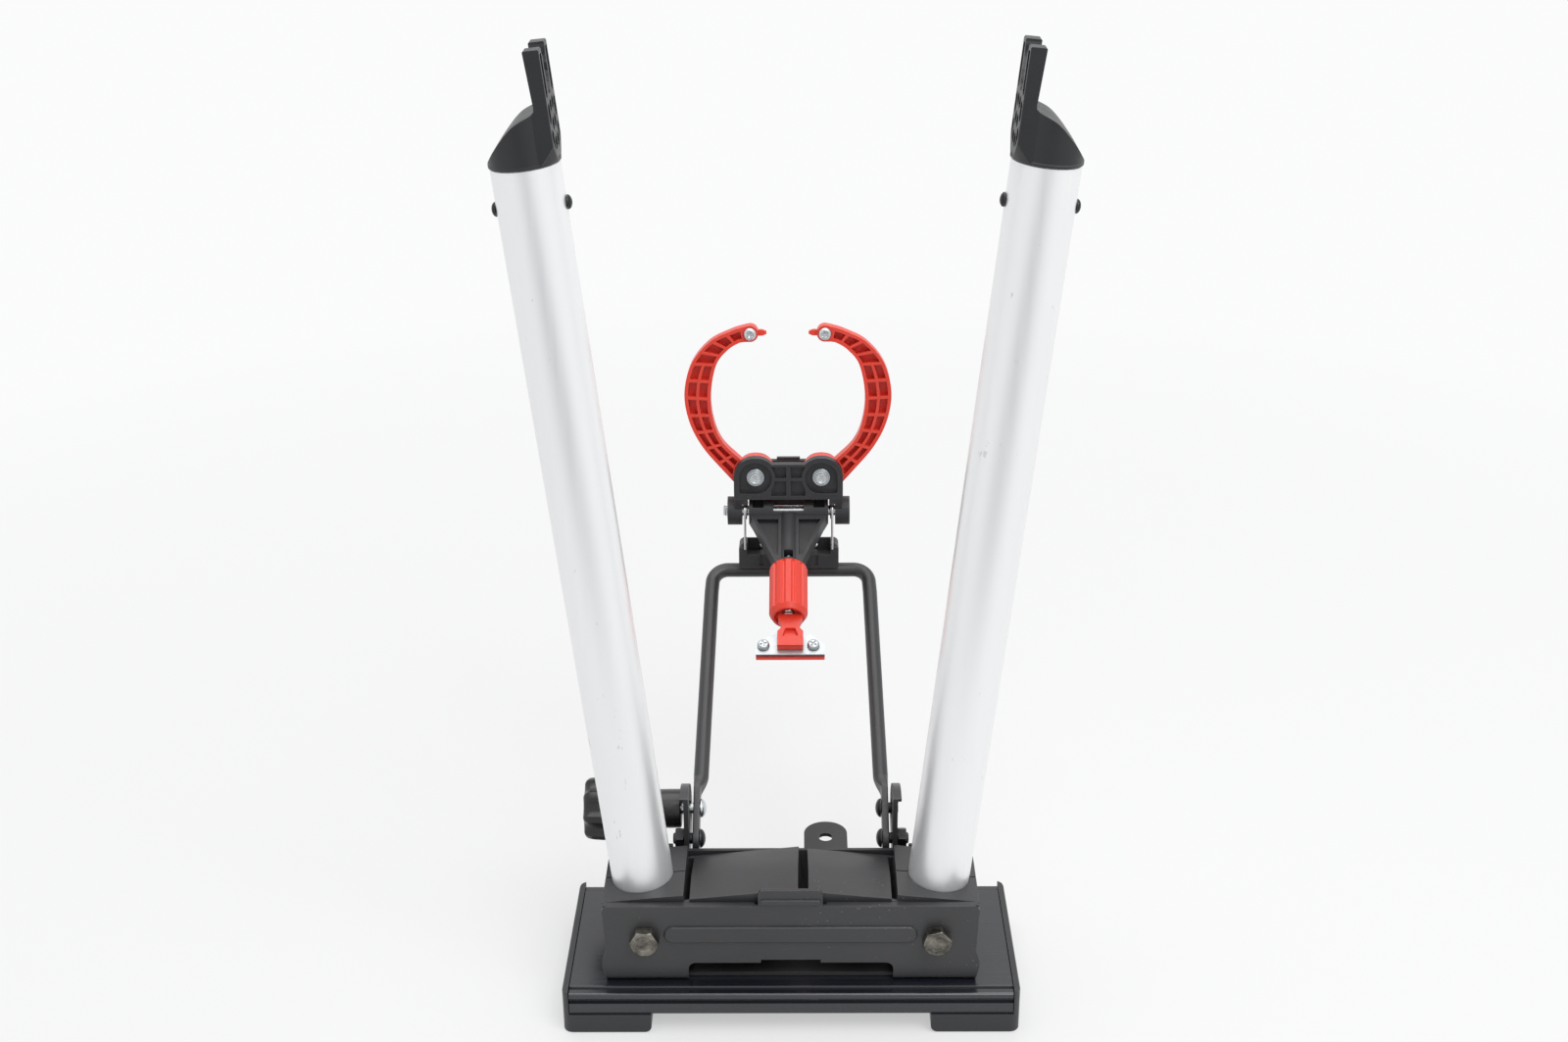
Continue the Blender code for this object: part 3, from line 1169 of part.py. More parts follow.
def claw(name, side):
    # Drawn as the left claw in the head's frame and turned over for the right one.
    way = -side
    at = head_frame() @ Matrix.Translation(Vector((side * BOSS_HALF, 0, BOSS_RISE)) * MM)

    def local(points):
        return [(way * (u + BOSS_HALF), v - BOSS_RISE) for u, v in points]

    outer = [tuple(spline_point(CLAW_OUTER, i / 24)) for i in range(25)]
    inner = [tuple(spline_point(CLAW_INNER, i / 20)) for i in range(21)]
    tip = arc(CLAW_TIP_U, CLAW_TIP_V, CLAW_TIP_RADIUS, 95, -95, 8)
    outline = outer + tip + list(reversed(inner))
    blade = CLAW_HALF - CLAW_HUB_PROUD
    body = prism(name + "_blade", local(outline), -blade, blade, "XZ", at)
    hub = bar(name + "_hub", CLAW_HUB, -CLAW_HALF, CLAW_HALF, "Y", (0, 0, 0), at, sides=32)
    phase = -90 / GEAR_TEETH if side < 0 else 90 / GEAR_TEETH
    first, last = (-2, 1)
    teeth = gear_outline(phase, first, last)
    sector = [(a * way, b) for a, b in teeth] + [(0, 6), (-3 * way, 0), (0, -6)]
    gear = prism(name + "_gear", sector, -GEAR_THICKNESS / 2, GEAR_THICKNESS / 2, "XZ", at)
    fuse(body, hub, gear)
    cells = []
    clear = CLAW_HUB + 2.2
    total = CLAW_DOUBLE_CELLS + CLAW_SINGLE_CELLS
    start = 0.26
    length = (0.985 - start) / total
    rib = 0.014
    for i in range(total):
        low = start + i * length
        high = low + length - rib
        lanes = ((0, 0.5), (0.5, 1)) if i < CLAW_DOUBLE_CELLS else ((0, 1),)
        for near, far in lanes:
            cell = local(claw_cell(low, high, near, far, total))
            if min(math.hypot(a, b) for a, b in cell) < clear:
                continue
            cells.append(prism(name + "_cell", cell, -CLAW_HALF - 1, blade - CLAW_SKIN, "XZ",
                               at))
    cut(body, merged(name + "_cells", cells, at))
    tip_x, tip_z = local([(CLAW_TIP_U, CLAW_TIP_V)])[0]
    seat = NIB_HEIGHT / 2 + GAP
    slit = block(name + "_slit", (tip_x - way * CLAW_TIP_RADIUS * 0.8, tip_x + way * 10),
                 (-NIB_THICKNESS / 2 - GAP, NIB_THICKNESS / 2 + GAP),
                 (tip_z + 1.4 - seat, tip_z + 1.4 + seat), at)
    cut(body, slit, bar(name + "_tip_hole", NIB_SCREW / 2 + HOLE_CLEARANCE, -10, 10, "Y",
                        (tip_x, 0, tip_z), at, 16),
        bar(name + "_bore", CLAW_SCREW / 2 + HOLE_CLEARANCE, -10, 10, "Y", (0, 0, 0), at, 20))
    piece(body, name, RED_PLASTIC)

    reach = local([(-NIB_REACH, CLAW_TIP_V + 1.4)])[0]
    inner_end = tip_x - way * (CLAW_TIP_RADIUS * 0.8 - GAP)
    neck = tip_x + way * (CLAW_TIP_RADIUS + 1.2)
    half = NIB_HEIGHT / 2
    shape = [(inner_end, reach[1] - half), (neck, reach[1] - half), (reach[0], reach[1] - 0.5),
             (reach[0], reach[1] + 0.5), (neck, reach[1] + half), (inner_end, reach[1] + half)]
    nib = prism(name + "_nib_body", shape, -NIB_THICKNESS / 2, NIB_THICKNESS / 2, "XZ", at)
    cut(nib, bar(name + "_nib_hole", NIB_SCREW / 2 + HOLE_CLEARANCE, -10, 10, "Y",
                 (tip_x, 0, tip_z), at, 16))
    piece(nib, name.replace("claw", "nib"), RED_PLASTIC)

    face = -CLAW_HALF - GAP
    head_radius = NIB_SCREW_HEAD / 2
    top = face - NIB_SCREW_HEAD_HEIGHT
    profile = [(0, top), (head_radius * 0.6, top), (head_radius, top + 0.9),
               (head_radius, face), (NIB_SCREW / 2, face), (NIB_SCREW / 2, CLAW_HALF - 0.6),
               (0, CLAW_HALF - 0.6)]
    profile.reverse()
    screw = turned(name + "_screw", profile, "Y", (tip_x, 0, tip_z), at, 12)
    piece(screw, name.replace("claw", "nib_screw"), ZINC)


# Gauge lever

def lever_frame():
    turn = Matrix.Rotation(math.radians(SADDLE_LEAN + 90 + LEVER_DROP), 4, "X")
    return pin_frame() @ turn


def lever():
    # In the lever's frame Z runs from the pin to the tip and Y points up and forward.
    at = lever_frame()
    barrel = LEVER_BARREL / 2
    half = LEVER_DEPTH / 2
    web = LEVER_WEB / 2
    tube = LEVER_TUBE / 2
    body = bar("lever_barrel", barrel, -LEVER_BARREL_HALF, LEVER_BARREL_HALF, "X", (0, 0, 0),
               at, sides=20)
    right = [(LEVER_BARREL_HALF, 0), (LEVER_BARREL_HALF, LEVER_WEB_START - 1.2, 1.5),
             (LEVER_WEB_HALF, LEVER_WEB_START + 1.0, 3), (LEVER_TIP_HALF, LEVER_TIP, 1.2)]
    left = [(-c[0], *c[1:]) for c in reversed(right)]
    plate = prism("lever_plate", rounded(right + left, 3), -half, half, "XZ", at)
    tube_start = 5.0
    core = bar("lever_core", tube, tube_start, LEVER_TIP, "Z", (0, 0, 0), at, sides=20)
    hollow = []
    slope = (LEVER_WEB_HALF - LEVER_TIP_HALF) / (LEVER_TIP - LEVER_WEB_START)
    low = LEVER_WEB_START + LEVER_RIM
    wide = LEVER_WEB_HALF - slope * LEVER_RIM - LEVER_RIM * 1.2
    high = LEVER_TIP - 8.5
    narrow = max(LEVER_WEB_HALF - slope * (high - LEVER_WEB_START) - LEVER_RIM * 1.2, tube + 0.8)
    for side in (-1, 1):
        shape = flip([(tube - 0.5, low), (wide, low), (narrow, high), (tube - 0.5, high)], side)
        for face in (-1, 1):
            hollow.append(prism("hollow", shape, face * web, face * (half + 1), "XZ", at))
    cut(plate, merged("lever_hollow", hollow, at))
    fuse(body, plate, core)
    windows = []
    for side in (-1, 1):
        windows.append(block("window", span(side, KNUCKLE_INNER - 0.5, KNUCKLE_OUTER + 0.5),
                             (-barrel - 3, barrel + 3), (-barrel - 3, KNUCKLE_RADIUS + 3.5), at))
    windows.append(block("window", (-LEVER_CENTRE_WINDOW, LEVER_CENTRE_WINDOW),
                         (-barrel - 3, barrel + 3), (-barrel - 3, tube_start - 0.4), at))
    cut(body, merged("lever_windows", windows, at))
    cut(body, bar("lever_bore", PIN / 2 + HOLE_CLEARANCE, -40, 40, "X", (0, 0, 0), at))
    screw = ADJUST_SCREW / 2
    cut(body, bar("lever_screw_bore", screw + HOLE_CLEARANCE, LEVER_SCREW_WINDOW,
                  LEVER_TIP + 1, "Z", (0, 0, 0), at, 20))
    half_window = LEVER_SCREW_WINDOW_WIDTH / 2
    cut(body, block("screw_window", (-half_window, half_window), (0, tube + 2),
                    (LEVER_SCREW_WINDOW, LEVER_SCREW_WINDOW + LEVER_SCREW_WINDOW_LENGTH), at))
    piece(body, "lever", GREY_PLASTIC)

    top = LEVER_SCREW_WINDOW + GAP
    profile = [(0, top), (screw * 0.7, top), (screw * 0.7, top + 1), (screw, top + 1.6),
               (screw, ADJUST_SCREW_END - 0.8), (screw - 0.8, ADJUST_SCREW_END),
               (0, ADJUST_SCREW_END)]
    profile.reverse()
    piece(turned("adjust_body", profile, "Z", (0, 0, 0), at, 14), "adjusting_screw", ZINC)
    thumbwheel(at)
    gauge_foot(at)


def thumbwheel(at):
    radius = WHEEL_OD / 2
    start = WHEEL_START
    end = start + WHEEL_LENGTH
    bore = ADJUST_SCREW / 2 + HOLE_CLEARANCE
    recess = WHEEL_RECESS / 2
    chamfer = WHEEL_CHAMFER
    profile = [(bore, end - WHEEL_RECESS_DEPTH), (recess, end - WHEEL_RECESS_DEPTH),
               (recess, end), (radius - 1.6, end), (radius, end - chamfer),
               (radius, start + chamfer), (radius - 1.6, start + 0.4), (radius - 2.4, start),
               (bore, start)]
    body = turned("wheel_body", profile, "Z", (0, 0, 0), at, 36)
    flutes = []
    for i in range(WHEEL_FLUTES):
        a = 2 * math.pi * (i + 0.5) / WHEEL_FLUTES
        reach = radius + WHEEL_FLUTE / 2 - WHEEL_FLUTE_DEPTH
        flutes.append(bar("flute", WHEEL_FLUTE / 2, start + chamfer * 0.8, end - chamfer * 0.8,
                          "Z", (reach * math.cos(a), reach * math.sin(a), 0), at, 10))
    cut(body, merged("wheel_flutes", flutes, at))
    piece(body, "thumbwheel", RED_PLASTIC)


def gauge_foot(at):
    half = FORK_THICKNESS / 2
    mid = FORK_SHOULDER - 3.4
    shape = rounded([(FORK_NECK_TOP, FORK_START), (FORK_NECK_TOP, 79.8, 1), (FORK_NECK, mid, 1.5),
                     (FORK_HALF, FORK_SHOULDER, 1), (FORK_HALF, FORK_END),
                     (-FORK_HALF, FORK_END), (-FORK_HALF, FORK_SHOULDER, 1),
                     (-FORK_NECK, mid, 1.5), (-FORK_NECK_TOP, 79.8, 1),
                     (-FORK_NECK_TOP, FORK_START)], 3)
    fork = prism("fork_body", shape, -half, half, "XZ", at)
    window = rounded([(-2.6, FORK_WINDOW), (2.6, FORK_WINDOW), (4.2, FORK_WINDOW_END),
                      (-4.2, FORK_WINDOW_END)], 3)
    cut(fork, prism("fork_window", window, half - 2.4, half + 1, "XZ", at))
    front = -half - GAP
    piece(fork, "gauge_fork", RED_PLASTIC)

    back = front - PLATE2_THICKNESS
    edge = PLATE2_END - 1.0
    outline = rounded([(PLATE2_HALF, edge - 5.5), (PLATE2_HALF, PLATE2_END),
                       (-PLATE2_HALF, PLATE2_END), (-PLATE2_HALF, edge - 5.5, 1.5),
                       (-PLATE2_TOP_HALF - 4.7, PLATE2_START + 4.0, 1),
                       (-PLATE2_TOP_HALF, PLATE2_START), (PLATE2_TOP_HALF, PLATE2_START),
                       (PLATE2_TOP_HALF + 4.7, PLATE2_START + 4.0, 1)], 3)
    plate = prism("gauge_plate_body", outline, back, front, "XZ", at)
    screw_z = PLATE2_END - PLATE_SCREW_DROP
    holes = [bar("plate_hole", PLATE_SCREW / 2 + HOLE_CLEARANCE, back - 5, front + 1, "Y",
                 (x, 0, screw_z), at, 16) for x in (-PLATE_SCREW_HALF, PLATE_SCREW_HALF)]
    cut(plate, merged("gauge_plate_holes", holes, at))
    piece(plate, "gauge_plate", ZINC)

    pad_top = back - GAP
    pad_low = pad_top - PAD_THICKNESS
    pad_end = PLATE2_END + PAD_REACH
    pad = block("pad_body", (-PLATE2_HALF, PLATE2_HALF), (pad_low, pad_top),
                (screw_z - PAD_HEIGHT / 2, pad_end), at)
    bevel(pad, 0.4, 1)
    holes = [bar("pad_hole", PLATE_SCREW / 2 + HOLE_CLEARANCE, pad_low - 2, pad_top + 2, "Y",
                 (x, 0, screw_z), at, 16) for x in (-PLATE_SCREW_HALF, PLATE_SCREW_HALF)]
    cut(pad, merged("pad_holes", holes, at))
    piece(pad, "gauge_pad", RED_PLASTIC)

    for name, side in (("left", -1), ("right", 1)):
        face = front + GAP
        top = face + PLATE_SCREW_HEAD_HEIGHT
        head_radius = PLATE_SCREW_HEAD / 2
        profile = [(0, top), (head_radius * 0.55, top), (head_radius * 0.9, top - 0.6),
                   (head_radius, face), (PLATE_SCREW / 2, face), (PLATE_SCREW / 2, pad_low),
                   (0, pad_low)]
        screw = turned("plate_screw_" + name + "_body", profile, "Y",
                       (side * PLATE_SCREW_HALF, 0, screw_z), at, 12)
        piece(screw, "gauge_screw_" + name, ZINC)


# Assembly

def centre_on_plan():
    # The origin goes to the middle of the plan, at bench level.
    bpy.context.view_layer.update()
    graph = bpy.context.evaluated_depsgraph_get()
    low = [math.inf, math.inf]
    high = [-math.inf, -math.inf]
    for ob in STAND.objects:
        solid = ob.evaluated_get(graph)
        for corner in solid.bound_box:
            spot = solid.matrix_world @ Vector(corner)
            for k in (0, 1):
                low[k] = min(low[k], spot[k])
                high[k] = max(high[k], spot[k])
    shift = Vector((-(low[0] + high[0]) / 2, -(low[1] + high[1]) / 2, 0))
    print("plan shift in mm", [round(v / MM, 4) for v in shift])
    for ob in list(STAND.objects) + list(TOOLS.objects):
        ob.matrix_world = Matrix.Translation(shift) @ ob.matrix_world


for old in list(bpy.data.objects):
    bpy.data.objects.remove(old, do_unlink=True)

STAND = new_collection("wheel_truing_stand")
TOOLS = new_collection("cutters")

ANODISED = material("black anodised extrusion", (0.012, 0.013, 0.016), 0.3, 0.3)
CAP_PLASTIC = material("matt black end cap", (0.02, 0.02, 0.022), 0.5, 0.0)
PAINTED_STEEL = material("black painted steel", (0.014, 0.015, 0.018), 0.38, 0.0)
ALUMINIUM = material("satin aluminium tube", (0.72, 0.73, 0.74), 0.36, 1.0)
GREY_PLASTIC = material("black moulded plastic", (0.03, 0.031, 0.034), 0.5, 0.0)
GLOSS_PLASTIC = material("gloss black knob", (0.008, 0.008, 0.009), 0.18, 0.0)
RED_PLASTIC = material("red moulded plastic", (0.6, 0.015, 0.01), 0.4, 0.0)
OLIVE_ZINC = material("olive plated bolt", (0.16, 0.14, 0.1), 0.42, 0.8)
BLACK_STEEL = material("black oxide screw", (0.02, 0.02, 0.022), 0.4, 0.6)
ZINC = material("bright zinc plating", (0.62, 0.64, 0.64), 0.28, 1.0)
SPRING_STEEL = material("spring steel wire", (0.5, 0.5, 0.5), 0.3, 1.0)

base_plate()
housing()
for label, hand in (("left", -1), ("right", 1)):
    end_cap("end_cap_" + label, hand)
    pivot_fasteners(label, hand)
    hinge_lug("hinge_lug_" + label, hand)
upright("upright_left", 1, WING_LEFT)
upright("upright_right", -1, WING_RIGHT)
arm()
saddle()
pin()
for label, hand in (("left", -1), ("right", 1)):
    spring("spring_" + label, hand)
head()
for label, hand in (("left", -1), ("right", 1)):
    claw("claw_" + label, hand)
lever()
centre_on_plan()
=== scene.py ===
# Wheel truing stand on a pale studio floor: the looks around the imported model.
# Lengths in the dictionaries are in millimetres; mm() turns them into metres.
import json
import math

import bmesh
import bpy
from mathutils import Matrix, Vector

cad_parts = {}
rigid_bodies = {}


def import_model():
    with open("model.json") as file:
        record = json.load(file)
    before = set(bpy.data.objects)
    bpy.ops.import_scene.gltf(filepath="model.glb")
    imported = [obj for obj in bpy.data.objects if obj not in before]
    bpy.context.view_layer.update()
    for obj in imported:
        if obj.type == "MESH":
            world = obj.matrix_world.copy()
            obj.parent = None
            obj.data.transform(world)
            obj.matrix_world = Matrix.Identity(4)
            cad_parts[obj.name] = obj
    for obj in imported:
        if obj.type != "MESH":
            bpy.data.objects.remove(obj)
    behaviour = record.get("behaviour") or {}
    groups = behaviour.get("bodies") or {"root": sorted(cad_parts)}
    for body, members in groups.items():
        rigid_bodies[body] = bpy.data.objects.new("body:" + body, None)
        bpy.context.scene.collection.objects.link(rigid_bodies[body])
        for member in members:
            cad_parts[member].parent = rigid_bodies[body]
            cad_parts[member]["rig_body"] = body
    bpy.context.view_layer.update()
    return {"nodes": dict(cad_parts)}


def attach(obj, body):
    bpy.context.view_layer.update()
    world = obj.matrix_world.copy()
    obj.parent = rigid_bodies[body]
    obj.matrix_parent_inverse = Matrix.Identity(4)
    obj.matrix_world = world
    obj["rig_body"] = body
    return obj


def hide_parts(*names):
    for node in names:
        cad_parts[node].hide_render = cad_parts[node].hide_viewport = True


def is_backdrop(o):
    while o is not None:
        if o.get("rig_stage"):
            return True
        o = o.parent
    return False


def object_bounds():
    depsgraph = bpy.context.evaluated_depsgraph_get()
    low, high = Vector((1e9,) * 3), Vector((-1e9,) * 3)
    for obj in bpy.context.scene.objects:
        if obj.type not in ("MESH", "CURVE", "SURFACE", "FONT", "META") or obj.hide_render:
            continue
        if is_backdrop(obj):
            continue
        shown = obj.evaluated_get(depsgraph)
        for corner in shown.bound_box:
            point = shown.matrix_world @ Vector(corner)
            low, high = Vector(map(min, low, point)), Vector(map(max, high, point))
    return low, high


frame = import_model()
nodes = frame["nodes"]
print("frame loaded:", len(nodes), "nodes")


class Values(dict):
    # A dictionary whose values are also read by name, as in tube.wall
    __getattr__ = dict.__getitem__


def mm(value):
    return value * 0.001


def shift(x, y, z):
    return Matrix.Translation((mm(x), mm(y), mm(z)))


def turn(degrees, axis):
    return Matrix.Rotation(math.radians(degrees), 4, axis)


def linked(name, data):
    thing = bpy.data.objects.new(name, data)
    bpy.context.scene.collection.objects.link(thing)
    return thing


def meshOf(bm):
    mesh = bpy.data.meshes.new("form")
    bm.to_mesh(mesh)
    bm.free()
    return mesh


# Camera, at the photograph's place: 1600 x 1063 picture, 2008 pixels of focal length

cameraView = Values(place=(0.0065, -0.9177, 0.6399), focalPixels=2007.9, pictureWidth=1600, sensorWidth=36.0,
                    downTilt=24.06, turn=-0.574, roll=-0.462)


def addCamera(v):
    data = bpy.data.cameras.new("camera")
    data.sensor_width = v.sensorWidth
    data.lens = v.focalPixels * v.sensorWidth / v.pictureWidth
    data.clip_start = 0.01
    data.clip_end = 50
    tilt, aside, roll = (math.radians(a) for a in (v.downTilt, v.turn, v.roll))
    ahead = Vector((math.sin(aside) * math.cos(tilt), math.cos(aside) * math.cos(tilt), -math.sin(tilt)))
    right = Vector((math.cos(aside), -math.sin(aside), 0))
    up = right.cross(ahead)
    side = right * math.cos(roll) + up * math.sin(roll)
    top = up * math.cos(roll) - right * math.sin(roll)
    camera = linked("camera", data)
    camera.matrix_world = Matrix.Translation(v.place) @ Matrix((side, top, -ahead)).transposed().to_4x4()
    bpy.context.scene.camera = camera


addCamera(cameraView)
bpy.context.scene.view_settings.view_transform = "Standard"

# Where the stand's own axes are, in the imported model's frame

stand = Values(planShift=-65.33, tubeSpread=73.0, tubeY=-14.0, pivotHeight=49.0, lean=5.85, tubeTop=388.4,
               armY=19.0, armHeight=69.4, armLean=57.0, armLength=164.4, clampRadius=17.1, saddleOffset=-1.0,
               saddleLean=8.0, pinRise=35.1, headLean=6.0, leverDrop=24.0, clawSpread=18.3, clawRise=21.7)
leftRight = (("left", -1), ("right", 1))


def uprightPlace(side):
    # z runs along the tube
    foot = shift(side * stand.tubeSpread, stand.tubeY + stand.planShift, stand.pivotHeight)
    return foot @ turn(stand.lean * side, "Y")


armPlace = shift(0, stand.armY + stand.planShift, stand.armHeight) @ turn(-stand.armLean, "X")
saddlePlace = armPlace @ shift(stand.saddleOffset, 0, stand.armLength) @ turn(stand.armLean - stand.saddleLean, "X")
pinPlace = saddlePlace @ shift(0, 0, stand.pinRise)
headPlace = pinPlace @ turn(stand.saddleLean - stand.headLean, "X")
leverPlace = pinPlace @ turn(stand.saddleLean + 90 + stand.leverDrop, "X")


# Node trees

class Nodes:
    def __init__(self, tree):
        self.tree = tree

    def node(self, kind, links=None, **settings):
        # A new node; links gives each named or numbered input a value or another node's output
        node = self.tree.nodes.new(kind)
        for key, value in settings.items():
            setattr(node, key, value)
        for label, value in (links or {}).items():
            target = node.inputs[label]
            if isinstance(label, str):
                target = [s for s in node.inputs if s.name == label and s.enabled][0]
            if isinstance(value, bpy.types.NodeSocket):
                self.tree.links.new(value, target)
            else:
                target.default_value = value
        return node

    def calc(self, operation, *values):
        return self.node("ShaderNodeMath", dict(enumerate(values)), operation=operation).outputs[0]

    def both(self, first, *others):
        for other in others:
            first = self.calc("MULTIPLY", first, other)
        return first

    def seen(self):
        # 1 for rays from the camera and for those that shiny and clear things send on
        rays = self.node("ShaderNodeLightPath").outputs
        shown = self.calc("MAXIMUM", rays["Is Camera Ray"], rays["Is Glossy Ray"])
        return self.calc("MAXIMUM", shown, rays["Is Transmission Ray"])


class Finish(Nodes):
    # One material: a Principled shader and the nodes that feed it

    def __init__(self, name, **settings):
        self.material = bpy.data.materials.new(name)
        self.material.use_nodes = True
        super().__init__(self.material.node_tree)
        self.shader = self.tree.nodes["Principled BSDF"]
        for socket, value in settings.items():
            self.shader.inputs[socket.replace("_", " ")].default_value = value
        self.place = self.node("ShaderNodeTexCoord").outputs["Object"]

    def feed(self, socket, source):
        self.tree.links.new(source, self.shader.inputs[socket])

    def noise(self, scale, detail=3.0, rough=0.5, stretch=(1, 1, 1)):
        vector = self.place
        if stretch != (1, 1, 1):
            vector = self.node("ShaderNodeMapping", {"Vector": vector, "Scale": stretch}).outputs[0]
        links = {"Vector": vector, "Scale": scale, "Detail": detail, "Roughness": rough}
        return self.node("ShaderNodeTexNoise", links).outputs[0]

    def spread(self, value, low, high, newLow=0.0, newHigh=1.0):
        links = {"Value": value, "From Min": low, "From Max": high, "To Min": newLow, "To Max": newHigh}
        return self.node("ShaderNodeMapRange", links).outputs["Result"]

    def patches(self, low, high, *noise):
        # 1 where the noise is over high
        return self.spread(self.noise(*noise), low, high)

    def blend(self, amount, *colours):
        ends = [(*c, 1) if isinstance(c, tuple) else c for c in colours]
        return self.node("ShaderNodeMix", {0: amount, 6: ends[0], 7: ends[1]}, data_type="RGBA").outputs[2]

    def edges(self, reach=0.7, low=0.03, high=0.2):
        # 1 along edges, where paint and plastic wear: there a rounded normal differs from the true one
        rounded = self.node("ShaderNodeBevel", {"Radius": mm(reach)}, samples=4).outputs[0]
        true = self.node("ShaderNodeNewGeometry").outputs["Normal"]
        same = self.node("ShaderNodeVectorMath", {0: rounded, 1: true}, operation="DOT_PRODUCT")
        return self.spread(same.outputs["Value"], 1 - low, 1 - high)


# Finishes. Each noise is (scale, detail, roughness) and perhaps how it is stretched: cloud mixes
# the two tones, edge is the colour of worn edges, gloss spreads the roughness and grain is raised
# to its depth in millimetres. Where and Spots begin with the noise values at which a mark starts
# and is full.

